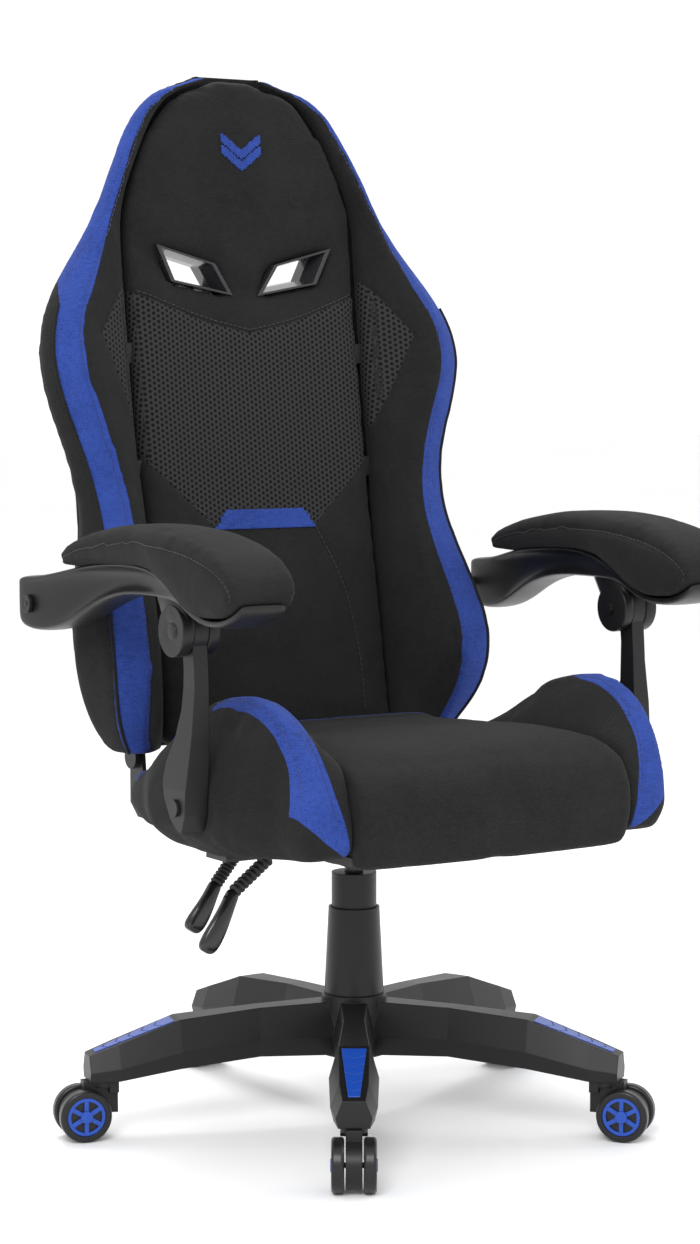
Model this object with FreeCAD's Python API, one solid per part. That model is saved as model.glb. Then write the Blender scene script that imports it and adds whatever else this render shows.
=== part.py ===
"""Gaming chair on a five-star caster base, as separate solids in one frame.

Frame in millimetres: the origin is on the floor under the gas lift, +Z is up, the
chair faces -Y and +X is the left hand of someone sitting in it.
"""
import FreeCAD, Part
import os
from math import pi

os.makedirs("parts", exist_ok=True)

V = FreeCAD.Vector
AXIS_X = V(1, 0, 0)
AXIS_Y = V(0, 1, 0)
AXIS_Z = V(0, 0, 1)
ORIGIN = V(0, 0, 0)

# ---- Shared clearances -------------------------------------------------------------
SHAFT_CLEARANCE = 0.05      # radial, a pin or rod running in its bore
RUNNING_GAP = 0.6           # between faces of two bodies that move past each other
SLEEVE_GAP = 1.0            # radial, one telescopic cover over another

# ---- Casters -----------------------------------------------------------------------
WHEEL_RADIUS = 30.0
WHEEL_WIDTH = 14.0
WHEEL_EDGE_ROUND = 3.5
WHEEL_DISH_RADIUS = 22.5    # round recess in each wheel's outer face
WHEEL_DISH_DEPTH = 4.0
FORK_WIDTH = 18.0           # part of the fork between the two wheels
FORK_SIDE_GAP = 1.5         # between the fork and each wheel
FORK_CHEEK_RADIUS = 26.0
CASTER_TRAIL = 25.0         # from the swivel axis out to the wheel axle
CASTER_RADIUS = 303.0       # from the chair's axis to a swivel axis
AXLE_RADIUS = 3.0
STEM_RADIUS = 5.5
STEM_LENGTH = 38.0
STEM_SOCKET_DEPTH = 20.0    # how far the stem reaches up into the leg
SWIVEL_BOSS_RADIUS = 15.0
HUB_CAP_RADIUS = 22.0
HUB_CAP_THICKNESS = 3.0
HUB_CAP_RIM = 4.0
HUB_CAP_CENTRE_RADIUS = 7.0
HUB_CAP_SPOKES = 6
HUB_CAP_SPOKE_WIDTH = 5.0

# ---- Five-star base ----------------------------------------------------------------
LEG_COUNT = 5
LEG_TURN = -32.3            # degrees, how far the first leg is turned from -Y
LEG_TIP_RADIUS = 322.0
LEG_KNEE_RADIUS = 216.0     # where the top of a leg starts to slope down
LEG_TOP_HUB = 143.0
LEG_TOP_KNEE = 134.0
LEG_TOP_TIP = 98.0
LEG_BOTTOM_HUB = 80.0
LEG_BOTTOM_MIDDLE = 84.0
LEG_BOTTOM_TIP = 68.0
LEG_NECK_RADIUS = 120.0
LEG_NECK_WIDTH = 40.0
LEG_ROOT_WIDTH = 50.0
LEG_SHOULDER_WIDTH = 56.0
LEG_TIP_WIDTH = 40.0
LEG_TOP_WIDTH_SHARE = 0.62  # width of a leg's top face over its full width
HUB_RADIUS = 38.5
HUB_TOP = 150.0
HUB_BOTTOM = 78.0
INLAY_DEPTH = 3.0
INLAY_PROUD = 0.8
INLAY_WIDTH_IN = 28.0
INLAY_WIDTH_OUT = 13.0
CHEVRON_COUNT = 5
CHEVRON_GROOVE = 1.6
CHEVRON_GROOVE_DEPTH = 0.8

# ---- Gas lift and its covers -------------------------------------------------------
TUBE_RADIUS = 24.0
TUBE_WALL = 2.5
TUBE_TOP = 248.0
TUBE_GUIDE_LENGTH = 16.0
ROD_RADIUS = 11.0
ROD_BOTTOM = 120.0
LOWER_COVER_RADIUS_BOTTOM = 35.0
LOWER_COVER_RADIUS_TOP = 30.0
LOWER_COVER_TOP = 252.0
UPPER_COVER_RADIUS = 26.5
UPPER_COVER_BOTTOM = 192.0
UPPER_COVER_TOP = 293.0
COVER_WALL = 1.5

# ---- Swivel plate under the seat ---------------------------------------------------
SOCKET_RADIUS = 15.0
SOCKET_BOTTOM = 309.0
SOCKET_TOP = 330.0
TRAY_BOTTOM = 312.0
TRAY_TOP = 345.0
TRAY_HALF_WIDTH = 31.0
TRAY_FRONT = -37.0
TRAY_REAR = 62.0
TRAY_WALL = 3.0
TRAY_ARCH_RADIUS = 20.0     # rounded cut in the front flange
SEAT_PLATE_THICKNESS = 4.0
SEAT_PLATE_HALF_WIDTH = 84.0
SEAT_PLATE_HALF_LENGTH = 100.0

# ---- Levers under the seat ---------------------------------------------------------
LEVER_ROD_RADIUS = 4.0
LEVER_PIVOT_X = -44.0
LEVER_PIVOT_Z = 328.0
LEVER_HOLE_GAP = 1.5        # around a lever rod where it enters the tray
HEIGHT_LEVER_Y = 34.0
RECLINE_LEVER_Y = -20.0
BELLOWS_RADIUS = 8.0
BELLOWS_ROOT_RADIUS = 5.5
BELLOWS_RINGS = 9
GRIP_WIDTH = 26.0
GRIP_THICKNESS = 12.0

# ---- Seat --------------------------------------------------------------------------
SEAT_BOTTOM = 353.0
SEAT_BOARD_THICKNESS = 10.0
SEAT_CREASE_HALF = 180.0    # where the centre cushion meets a wing
SEAT_FRONT = -304.0
SEAT_REAR = 148.0
SEAT_TOP = 466.0
SEAT_TOP_REAR = 449.0
WING_GAP = 0.8              # between a wing and the centre cushion
TRIM_THICKNESS = 2.4        # sewn fabric strips
REAR_BAND_WIDTH = 15.0
REAR_BAND_Y = 102.0         # front edge of the band across the back of the seat
BOARD_FRONT = -280.0        # seat board
BOARD_REAR = 136.0

# ---- Arm linkage -------------------------------------------------------------------
STRUT_PIVOT_Y = -137.0
STRUT_PIVOT_Z = 409.5
HUB_PIVOT_Y = -135.5
HUB_PIVOT_Z = 600.7
REAR_PIVOT_Y = 190.0
REAR_PIVOT_Z = 612.0
ARM_EAR_INNER = 272.0       # from the middle of the chair to the inner ear
ARM_EAR_OUTER = 318.0
STRUT_INNER = 286.0
STRUT_TOP_OUTER = 303.0
STRUT_FOOT_OUTER = 314.0
HUB_BARREL_RADIUS = 28.0
HUB_PIN_RADIUS = 6.0
HUB_PIN_INSET = 6.0         # the pin ends this far inside the outer ear
STRUT_PIN_RADIUS = 6.0
REAR_PIN_RADIUS = 6.0
PIVOT_HEAD_RADIUS = 9.5
PIVOT_HEAD_THICKNESS = 3.0
OPEN_PIVOT_CLEARANCE = 0.8  # radial, lets the rear pivot of the linkage float
BRACKET_THICKNESS = 5.0
PAD_CENTRE = 295.0
PAD_WIDTH = 84.0
PAD_FRONT_Y = -294.0

# ---- Backrest ----------------------------------------------------------------------
BACK_THICKNESS_SHELL = 12.0
SEAM_HALF = 166.0           # vertical seam between centre and bolster
FRAME_BAR_WIDTH = 30.0
FRAME_BAR_THICKNESS = 6.0
FRAME_BAR_X = 190.0
BACK_PANEL_GAP = 0.6
BACK_SEAM_GAP = 4.0         # between the centre panel and each bolster, where the seam is sewn
VENT_PROUD = 6.0            # how far a bezel stands in front of the panel
VENT_MOUTH_SCALE = 0.86
VENT_THROAT_SCALE = 0.64
VENT_FUNNEL_DEPTH = 24.0

# The backrest is described at heights z. Each station holds: the front surface at the
# middle, the bolster crest (x, y), the outer edge of the coloured strip (x, y), the
# widest point of the side (x, y) and the rear corner (x, y).
BACK_STATIONS = [
    (430, 162, (196, 124), (226, 136), (232, 168), (206, 196), 204),
    (456, 165, (206, 116), (242, 124), (252, 168), (226, 208), 213),
    (492, 172, (212, 98), (256, 106), (269, 162), (240, 222), 224),
    (545, 182, (215, 90), (263, 98), (277, 165), (248, 236), 237),
    (612, 195, (213, 112), (258, 120), (271, 172), (246, 244), 246),
    (690, 211, (207, 148), (245, 160), (256, 196), (238, 244), 253),
    (767, 223, (216, 174), (252, 190), (260, 218), (244, 254), 262),
    (830, 233, (236, 182), (272, 200), (278, 228), (262, 264), 272),
    (900, 243, (254, 188), (286, 207), (290, 232), (272, 272), 282),
    (962, 251, (241, 205), (269, 223), (273, 244), (256, 280), 290),
    (1028, 259, (202, 228), (224, 242), (228, 258), (214, 286), 297),
    (1090, 264, (170, 240), (187, 252), (190, 266), (178, 290), 302),
    (1150, 269, (144, 252), (159, 262), (161, 274), (150, 294), 307),
    (1196, 272, (116, 260), (132, 268), (134, 278), (124, 296), 309),
    (1222, 275, (78, 266), (94, 273), (96, 281), (88, 298), 310),
    (1238, 279, (38, 273), (50, 278), (52, 284), (46, 300), 308),
]


# ---- Small geometry helpers --------------------------------------------------------
def save(name, shape):
    """Write one node as a STEP file and keep the shape at hand."""
    shape.exportStep("parts/" + name + ".step")
    return shape


def ring(outer, inner, low, height):
    """A tube about Z."""
    body = Part.makeCylinder(outer, height, V(0, 0, low))
    return body.cut(Part.makeCylinder(inner, height + 2, V(0, 0, low - 1)))


def rod_x(radius, x_from, x_to, y, z):
    """A cylinder along X between two x values."""
    low = min(x_from, x_to)
    return Part.makeCylinder(radius, abs(x_to - x_from), V(low, y, z), AXIS_X)


def box(x, y, z):
    """A box from three (low, high) pairs."""
    return Part.makeBox(x[1] - x[0], y[1] - y[0], z[1] - z[0], V(x[0], y[0], z[0]))


def polygon(points):
    """A closed wire through points."""
    return Part.makePolygon(list(points) + [points[0]])


def prism_x(profile, x_from, x_to):
    """Extrude a (y, z) outline along X."""
    face = Part.Face(polygon([V(x_from, y, z) for y, z in profile]))
    return face.extrude(V(x_to - x_from, 0, 0))


def prism_y(profile, y_from, y_to):
    """Extrude an (x, z) outline along Y."""
    face = Part.Face(polygon([V(x, y_from, z) for x, z in profile]))
    return face.extrude(V(0, y_to - y_from, 0))


def prism_z(profile, z_from, z_to):
    """Extrude an (x, y) outline along Z."""
    face = Part.Face(polygon([V(x, y, z_from) for x, y in profile]))
    return face.extrude(V(0, 0, z_to - z_from))


def loft(sections):
    """A smooth solid through closed polygons that have the same number of points."""
    return Part.makeLoft([polygon(points) for points in sections], True, False)


def mirrored(shape):
    """The same shape on the other side of the chair."""
    return shape.mirror(ORIGIN, AXIS_X)


def both_sides(shape):
    """One shape and its mirror image as a single node."""
    return Part.makeCompound([shape, mirrored(shape)])


def softened(shape, radius, keep):
    """Fillet the edges that keep() accepts."""
    return shape.makeFillet(radius, [edge for edge in shape.Edges if keep(edge)])


def largest_solid(shape):
    """The biggest solid of a shape, without the crumbs a cut leaves."""
    return max(shape.Solids, key=lambda solid: solid.Volume)


def interpolated(stations, z, pick):
    """A value read between the backrest stations at height z."""
    for low, high in zip(stations, stations[1:]):
        if z <= high[0]:
            share = (z - low[0]) / (high[0] - low[0])
            return pick(low) + share * (pick(high) - pick(low))
    return pick(stations[-1])


# ---- Casters -----------------------------------------------------------------------
# A caster is drawn with its swivel axis on Z and its wheels trailing towards -Y.
def caster_fork():
    """Fork body: swivel boss, neck and the cheek between the wheels."""
    half = FORK_WIDTH / 2
    boss_top = LEG_BOTTOM_TIP - RUNNING_GAP
    cheek = rod_x(FORK_CHEEK_RADIUS, -half, half, -CASTER_TRAIL, WHEEL_RADIUS)
    neck = box((-half, half), (-CASTER_TRAIL, SWIVEL_BOSS_RADIUS), (WHEEL_RADIUS, boss_top))
    boss_bottom = 2 * WHEEL_RADIUS + RUNNING_GAP
    boss = Part.makeCylinder(SWIVEL_BOSS_RADIUS, boss_top - boss_bottom, V(0, 0, boss_bottom))
    block = box((-SWIVEL_BOSS_RADIUS, SWIVEL_BOSS_RADIUS), (4, SWIVEL_BOSS_RADIUS),
                (WHEEL_RADIUS + 24, boss_top))
    axle = rod_x(AXLE_RADIUS, -axle_half_length(), axle_half_length(), -CASTER_TRAIL, WHEEL_RADIUS)
    socket = Part.makeCylinder(STEM_RADIUS + SHAFT_CLEARANCE, STEM_LENGTH,
                               V(0, 0, stem_bottom()))
    return cheek.fuse([neck, boss, block, axle]).cut(socket).removeSplitter()


def axle_half_length():
    """Half the length of a wheel axle, up to the floor of the dish in each wheel."""
    return FORK_WIDTH / 2 + FORK_SIDE_GAP + WHEEL_WIDTH - WHEEL_DISH_DEPTH - 2


def stem_bottom():
    """Height of the lower end of a caster stem."""
    return LEG_BOTTOM_TIP + STEM_SOCKET_DEPTH - STEM_LENGTH


def caster_wheel(side):
    """One wheel of a pair, with a blind bore and a round dish for its cap."""
    inner = FORK_WIDTH / 2 + FORK_SIDE_GAP
    outer = inner + WHEEL_WIDTH
    tyre = rod_x(WHEEL_RADIUS, inner, outer, -CASTER_TRAIL, WHEEL_RADIUS)
    tyre = softened(tyre, WHEEL_EDGE_ROUND, lambda edge: edge.Length > pi * WHEEL_RADIUS)
    dish = rod_x(WHEEL_DISH_RADIUS, outer - WHEEL_DISH_DEPTH, outer + 1, -CASTER_TRAIL, WHEEL_RADIUS)
    bore = rod_x(AXLE_RADIUS + SHAFT_CLEARANCE, inner - 1, axle_half_length() + RUNNING_GAP,
                 -CASTER_TRAIL, WHEEL_RADIUS)
    wheel = tyre.cut(dish).cut(bore)
    return wheel if side > 0 else mirrored(wheel)


def hub_cap(side):
    """Spoked cap that fills the dish of a wheel."""
    face = FORK_WIDTH / 2 + FORK_SIDE_GAP + WHEEL_WIDTH
    floor = face - WHEEL_DISH_DEPTH
    outer = floor + HUB_CAP_THICKNESS
    y, z = -CASTER_TRAIL, WHEEL_RADIUS
    rim = rod_x(HUB_CAP_RADIUS, floor, outer, y, z)
    rim = rim.cut(rod_x(HUB_CAP_RADIUS - HUB_CAP_RIM, floor - 1, outer + 1, y, z))
    centre = rod_x(HUB_CAP_CENTRE_RADIUS, floor, outer + 2, y, z)
    spokes = []
    for index in range(HUB_CAP_SPOKES):
        spoke = box((floor, outer), (y - HUB_CAP_SPOKE_WIDTH / 2, y + HUB_CAP_SPOKE_WIDTH / 2),
                    (z, z + HUB_CAP_RADIUS - HUB_CAP_RIM / 2))
        spoke.rotate(V(0, y, z), AXIS_X, 360.0 * index / HUB_CAP_SPOKES)
        spokes.append(spoke)
    cap = rim.fuse([centre] + spokes).removeSplitter()
    return cap if side > 0 else mirrored(cap)


def on_leg(shape, index):
    """Move a shape drawn on the -Y leg's caster axis to the leg with this index."""
    placed = shape.copy()
    placed.translate(V(0, -CASTER_RADIUS, 0))
    placed.rotate(ORIGIN, AXIS_Z, LEG_TURN + 360.0 / LEG_COUNT * index)
    return placed


def build_casters():
    """Five casters and the stems that hold them in the legs."""
    stem = Part.makeCylinder(STEM_RADIUS, STEM_LENGTH, V(0, 0, stem_bottom()))
    save("caster_stems", Part.makeCompound([on_leg(stem, i) for i in range(LEG_COUNT)]))
    fork = caster_fork()
    for index in range(LEG_COUNT):
        label = "caster_%d_" % (index + 1)
        save(label + "fork", on_leg(fork, index))
        for side, word in ((1, "a"), (-1, "b")):
            save(label + "wheel_" + word, on_leg(caster_wheel(side), index))
            save(label + "hub_cap_" + word, on_leg(hub_cap(side), index))


# ---- Five-star base ----------------------------------------------------------------
def leg_top_at(radius):
    """Height of a leg's top face beyond the knee."""
    share = (radius - LEG_KNEE_RADIUS) / (LEG_TIP_RADIUS - LEG_KNEE_RADIUS)
    return LEG_TOP_KNEE + share * (LEG_TOP_TIP - LEG_TOP_KNEE)


def leg_section(radius, bottom, top, width):
    """Six-sided section of a leg: narrow on top, widest a third of the way up."""
    half = width / 2
    crown = half * LEG_TOP_WIDTH_SHARE
    foot = half * 0.86
    waist = bottom + (top - bottom) * 0.36
    outline = ((-foot, bottom), (foot, bottom), (half, waist), (crown, top), (-crown, top), (-half, waist))
    return [V(x, -radius, z) for x, z in outline]


def one_leg():
    """One leg along -Y: a ruled body through four sections."""
    inside = HUB_RADIUS * 0.5
    middle = (LEG_BOTTOM_HUB + LEG_BOTTOM_MIDDLE) / 2
    sections = [
        leg_section(inside, LEG_BOTTOM_HUB, LEG_TOP_HUB, LEG_ROOT_WIDTH),
        leg_section(LEG_NECK_RADIUS, middle + 2, (LEG_TOP_HUB + LEG_TOP_KNEE) / 2 + 2, LEG_NECK_WIDTH),
        leg_section(LEG_KNEE_RADIUS, LEG_BOTTOM_MIDDLE - 6, LEG_TOP_KNEE, LEG_SHOULDER_WIDTH),
        leg_section(LEG_TIP_RADIUS - 34, LEG_BOTTOM_TIP, leg_top_at(LEG_TIP_RADIUS - 34),
                    LEG_SHOULDER_WIDTH - 4),
        leg_section(LEG_TIP_RADIUS, LEG_BOTTOM_TIP, LEG_TOP_TIP, LEG_TIP_WIDTH),
    ]
    return Part.makeLoft([polygon(points) for points in sections], True, True)


def inlay_outline(grow):
    """Plan outline of the coloured inlay on the sloping end of a leg."""
    near = LEG_KNEE_RADIUS + 6 - grow
    far = LEG_TIP_RADIUS - 8 + grow
    half_in = INLAY_WIDTH_IN / 2 + grow
    half_out = INLAY_WIDTH_OUT / 2 + grow
    return [(-half_in, -near), (half_in, -near), (half_out, -far), (-half_out, -far)]


def slope_slab(low, high):
    """Slab that lies between two offsets from the sloping top of a leg."""
    near, far = LEG_KNEE_RADIUS - 20, LEG_TIP_RADIUS + 10
    profile = [(-near, leg_top_at(near) + low), (-far, leg_top_at(far) + low),
               (-far, leg_top_at(far) + high), (-near, leg_top_at(near) + high)]
    return prism_x(profile, -LEG_SHOULDER_WIDTH, LEG_SHOULDER_WIDTH)


def leg_inlay():
    """Inlay with a row of shallow chevron grooves."""
    inlay = prism_z(inlay_outline(0), LEG_BOTTOM_TIP, LEG_TOP_HUB + 20)
    inlay = inlay.common(slope_slab(-INLAY_DEPTH, INLAY_PROUD))
    pitch = (LEG_TIP_RADIUS - LEG_KNEE_RADIUS - 14) / (CHEVRON_COUNT + 1)
    grooves = []
    for index in range(CHEVRON_COUNT):
        tip = -(LEG_KNEE_RADIUS + 12 + pitch * (index + 1))
        arm, rise = INLAY_WIDTH_IN, INLAY_WIDTH_IN * 0.5
        chevron = [(0, tip), (arm, tip + rise), (arm, tip + rise + CHEVRON_GROOVE),
                   (0, tip + CHEVRON_GROOVE), (-arm, tip + rise + CHEVRON_GROOVE), (-arm, tip + rise)]
        grooves.append(prism_z(chevron, LEG_BOTTOM_TIP, LEG_TOP_HUB + 20))
    cutter = Part.makeCompound(grooves).common(slope_slab(INLAY_PROUD - CHEVRON_GROOVE_DEPTH, 10))
    return inlay.cut(cutter)


def build_base():
    """Star, its inlays, the lift tube in the hub and the fixed lower cover."""
    pocket = prism_z(inlay_outline(0), LEG_BOTTOM_TIP, LEG_TOP_HUB + 20).common(slope_slab(-INLAY_DEPTH, 20))
    stem_hole = Part.makeCylinder(STEM_RADIUS, STEM_SOCKET_DEPTH + 1,
                                  V(0, -CASTER_RADIUS, LEG_BOTTOM_TIP - 1))
    leg = one_leg().cut(pocket).cut(stem_hole)
    inlay = leg_inlay()
    legs, inlays = [], []
    for index in range(LEG_COUNT):
        turn = LEG_TURN + 360.0 / LEG_COUNT * index
        for source, target in ((leg, legs), (inlay, inlays)):
            copy = source.copy()
            copy.rotate(ORIGIN, AXIS_Z, turn)
            target.append(copy)
    hub = Part.makeCylinder(HUB_RADIUS, HUB_TOP - HUB_BOTTOM, V(0, 0, HUB_BOTTOM))
    star = hub.fuse(legs).cut(Part.makeCylinder(TUBE_RADIUS, 200, V(0, 0, HUB_BOTTOM - 10)))
    save("base_star", star.removeSplitter())
    save("leg_inlays", Part.makeCompound(inlays))

    tube = Part.makeCylinder(TUBE_RADIUS, TUBE_TOP - HUB_BOTTOM, V(0, 0, HUB_BOTTOM))
    guide_bottom = TUBE_TOP - TUBE_GUIDE_LENGTH
    chamber_bottom = HUB_BOTTOM + TUBE_WALL
    tube = tube.cut(Part.makeCylinder(TUBE_RADIUS - TUBE_WALL, guide_bottom - chamber_bottom,
                                      V(0, 0, chamber_bottom)))
    tube = tube.cut(Part.makeCylinder(ROD_RADIUS + SHAFT_CLEARANCE, TUBE_TOP - chamber_bottom + 1,
                                      V(0, 0, chamber_bottom)))
    save("lift_tube", tube)

    height = LOWER_COVER_TOP - HUB_TOP
    outside = Part.makeCone(LOWER_COVER_RADIUS_BOTTOM, LOWER_COVER_RADIUS_TOP, height, V(0, 0, HUB_TOP))
    inner_top = UPPER_COVER_RADIUS + SLEEVE_GAP
    inside = Part.makeCone(LOWER_COVER_RADIUS_BOTTOM - COVER_WALL * 2, inner_top, height, V(0, 0, HUB_TOP))
    save("lower_cover", outside.cut(inside))


def build_lift():
    """Piston rod and the cover that rises with it."""
    save("lift_rod", Part.makeCylinder(ROD_RADIUS, SOCKET_TOP - 1 - ROD_BOTTOM, V(0, 0, ROD_BOTTOM)))
    cover = ring(UPPER_COVER_RADIUS, UPPER_COVER_RADIUS - COVER_WALL, UPPER_COVER_BOTTOM,
                 UPPER_COVER_TOP - UPPER_COVER_BOTTOM)
    top = ring(UPPER_COVER_RADIUS, ROD_RADIUS, UPPER_COVER_TOP - COVER_WALL, COVER_WALL)
    save("upper_cover", cover.fuse(top).removeSplitter())


# ---- Swivel plate ------------------------------------------------------------------
def build_swivel_plate():
    """Pressed tray with the lift socket, welded under a flat plate."""
    half = TRAY_HALF_WIDTH
    wall = TRAY_WALL
    tray = box((-half, half), (TRAY_FRONT, TRAY_REAR), (TRAY_BOTTOM, TRAY_TOP))
    tray = tray.cut(box((wall - half, half - wall), (TRAY_FRONT + wall, TRAY_REAR - wall),
                        (TRAY_BOTTOM - 1, TRAY_TOP - wall)))
    arch = Part.makeCylinder(TRAY_ARCH_RADIUS, wall + 2, V(0, TRAY_FRONT - 1, TRAY_BOTTOM - 8), AXIS_Y)
    socket = Part.makeCylinder(SOCKET_RADIUS, TRAY_TOP - SOCKET_BOTTOM, V(0, 0, SOCKET_BOTTOM))
    rod_hole = Part.makeCylinder(ROD_RADIUS + SHAFT_CLEARANCE, SOCKET_TOP - SOCKET_BOTTOM + 1,
                                 V(0, 0, SOCKET_BOTTOM - 1))
    plate = box((-SEAT_PLATE_HALF_WIDTH, SEAT_PLATE_HALF_WIDTH),
                (-SEAT_PLATE_HALF_LENGTH, SEAT_PLATE_HALF_LENGTH),
                (TRAY_TOP, TRAY_TOP + SEAT_PLATE_THICKNESS))
    swivel = tray.cut(arch).fuse([socket, plate]).cut(rod_hole)
    for y in (HEIGHT_LEVER_Y, RECLINE_LEVER_Y):
        swivel = swivel.cut(rod_x(LEVER_ROD_RADIUS + LEVER_HOLE_GAP, -half - 1, -SOCKET_RADIUS - 1,
                                  y, LEVER_PIVOT_Z))
    save("swivel_plate", swivel.removeSplitter())


# ---- Levers ------------------------------------------------------------------------
def capsule_path(radius, points):
    """A round bar with ball joints along a bent path."""
    pieces = []
    for start, end in zip(points, points[1:]):
        pieces.append(Part.makeCylinder(radius, (end - start).Length, start, end - start))
    for corner in points[1:-1]:
        pieces.append(Part.makeSphere(radius, corner))
    return pieces[0].fuse(pieces[1:]).removeSplitter()


def bellows(start, end, hole):
    """A corrugated sleeve between two points with a bore for its rod."""
    along = end - start
    pitch = along.Length / BELLOWS_RINGS
    profile = [V(hole, 0, 0)]
    for index in range(BELLOWS_RINGS):
        low = pitch * index
        profile.append(V(BELLOWS_ROOT_RADIUS, 0, low))
        profile.append(V(BELLOWS_RADIUS, 0, low + pitch * 0.35))
        profile.append(V(BELLOWS_RADIUS, 0, low + pitch * 0.65))
    profile.append(V(BELLOWS_ROOT_RADIUS, 0, along.Length))
    profile.append(V(hole, 0, along.Length))
    sleeve = Part.Face(polygon(profile)).revolve(ORIGIN, AXIS_Z, 360)
    sleeve.Placement = FreeCAD.Placement(start, FreeCAD.Rotation(AXIS_Z, along))
    return sleeve


def paddle(root, tip, rod_hole):
    """A thumb-shaped grip from its root to its tip, wider towards the tip."""
    along = tip - root
    length = along.Length
    half = GRIP_WIDTH / 2
    outline = [(-6, 0), (6, 0), (half - 2, length * 0.45), (half, length * 0.8), (half - 5, length),
               (5 - half, length), (-half, length * 0.8), (2 - half, length * 0.45)]
    face = Part.Face(polygon([V(x, -GRIP_THICKNESS / 2, z) for x, z in outline]))
    grip = face.extrude(V(0, GRIP_THICKNESS, 0))
    grip = softened(grip, 3.0, lambda edge: True)
    grip = grip.cut(Part.makeCylinder(rod_hole, length * 0.4, V(0, 0, -1)))
    grip.Placement = FreeCAD.Placement(root, FreeCAD.Rotation(AXIS_Z, along))
    return grip


def build_lever(label, y, elbow, wrist, tip):
    """One lever: pivot, bent rod, bellows over its slope and a grip."""
    inner = V(-SOCKET_RADIUS - 4, y, LEVER_PIVOT_Z)
    slope = wrist - elbow
    end = elbow + slope * ((slope.Length + 14) / slope.Length)
    rod = capsule_path(LEVER_ROD_RADIUS, [inner, V(LEVER_PIVOT_X, y, LEVER_PIVOT_Z), elbow, end])
    save(label + "_rod", rod)
    start = elbow + slope * (6 / slope.Length)
    sleeve = bellows(start, wrist, LEVER_ROD_RADIUS)
    save(label + "_bellows", sleeve)
    grip = paddle(wrist, tip, LEVER_ROD_RADIUS).cut(rod).cut(sleeve)
    save(label + "_grip", grip)


def build_levers():
    """Height lever and recline release lever, side by side under the seat's right edge."""
    y = HEIGHT_LEVER_Y
    build_lever("height_lever", y, V(-136, y, 326), V(-172, y - 8, 290), V(-206, y - 14, 240))
    y = RECLINE_LEVER_Y
    build_lever("recline_lever", y, V(-124, y, 326), V(-182, y - 12, 290), V(-222, y - 22, 228))


# ---- Seat --------------------------------------------------------------------------
# Stations of a seat wing from rear to front: y, bottom, widest x, top outer x, top z,
# top inner x and the height where the wing meets the centre cushion.
WING_STATIONS = [
    (146, 372, 212, 205, 404, 192, 400),
    (120, 358, 232, 226, 416, 204, 420),
    (84, 353, 240, 238, 424, 208, 436),
    (40, 353, 244, 243, 446, 212, 452),
    (-10, 353, 245, 245, 474, 214, 459),
    (-60, 353, 246, 246, 503, 215, 463),
    (-105, 353, 247, 247, 522, 215, 466),
    (-150, 353, 247, 247, 529, 215, 468),
    (-200, 355, 247, 246, 524, 214, 469),
    (-240, 357, 246, 245, 503, 213, 467),
    (-268, 360, 244, 243, 470, 211, 460),
    (-284, 365, 240, 239, 432, 208, 428),
    (-292, 372, 226, 224, 404, 200, 402),
]


def wing_sections(inset):
    """Closed sections of one wing, pulled in by an inset at the stripe."""
    sections = []
    inner = SEAT_CREASE_HALF + WING_GAP
    for y, bottom, wide, outer, top, inside, crease in WING_STATIONS:
        sections.append([V(inner, y, bottom), V(wide - 14, y, bottom), V(wide, y, bottom + 24),
                         V(outer - inset, y, top - 12), V(outer - 7 - inset, y, top - inset),
                         V(inside + inset, y, top - 2 - inset), V(inner, y, min(crease, top - 2))])
    return sections


def wing_stripe():
    """Coloured strip sewn along the top and front edge of one wing."""
    band = []
    for y, bottom, wide, outer, top, inside, crease in WING_STATIONS[5:]:
        raised = top + TRIM_THICKNESS * 0.1
        band.append([V(outer - 1, y, top - 12), V(outer - 7, y, raised), V(inside, y, top - 2),
                     V(inside + TRIM_THICKNESS, y, top - 2 - TRIM_THICKNESS),
                     V(outer - 7 - TRIM_THICKNESS, y, top - TRIM_THICKNESS - 1),
                     V(outer - 1 - TRIM_THICKNESS, y, top - 13)])
    return loft(band)


def seat_profile():
    """Side outline of the centre cushion, from the rear edge over the top to the front."""
    bottom = SEAT_BOTTOM + SEAT_BOARD_THICKNESS
    return [(SEAT_REAR - 8, bottom), (SEAT_REAR, 395), (SEAT_REAR - 4, 420), (SEAT_REAR - 18, 441),
            (110, SEAT_TOP_REAR), (40, 457), (-50, 462), (-150, SEAT_TOP + 2), (-220, SEAT_TOP),
            (-262, 459), (-288, 444), (-301, 420), (SEAT_FRONT, 395), (-298, 374), (-286, bottom)]


def seat_solid():
    """Centre cushion between the two creases."""
    profile = seat_profile()
    half = SEAT_CREASE_HALF
    points = [V(-half, y, z) for y, z in profile]
    curve = Part.BSplineCurve()
    curve.interpolate(points)
    base = Part.makeLine(points[-1], points[0])
    face = Part.Face(Part.Wire([curve.toShape(), base]))
    return face.extrude(V(2 * half, 0, 0))


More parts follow.
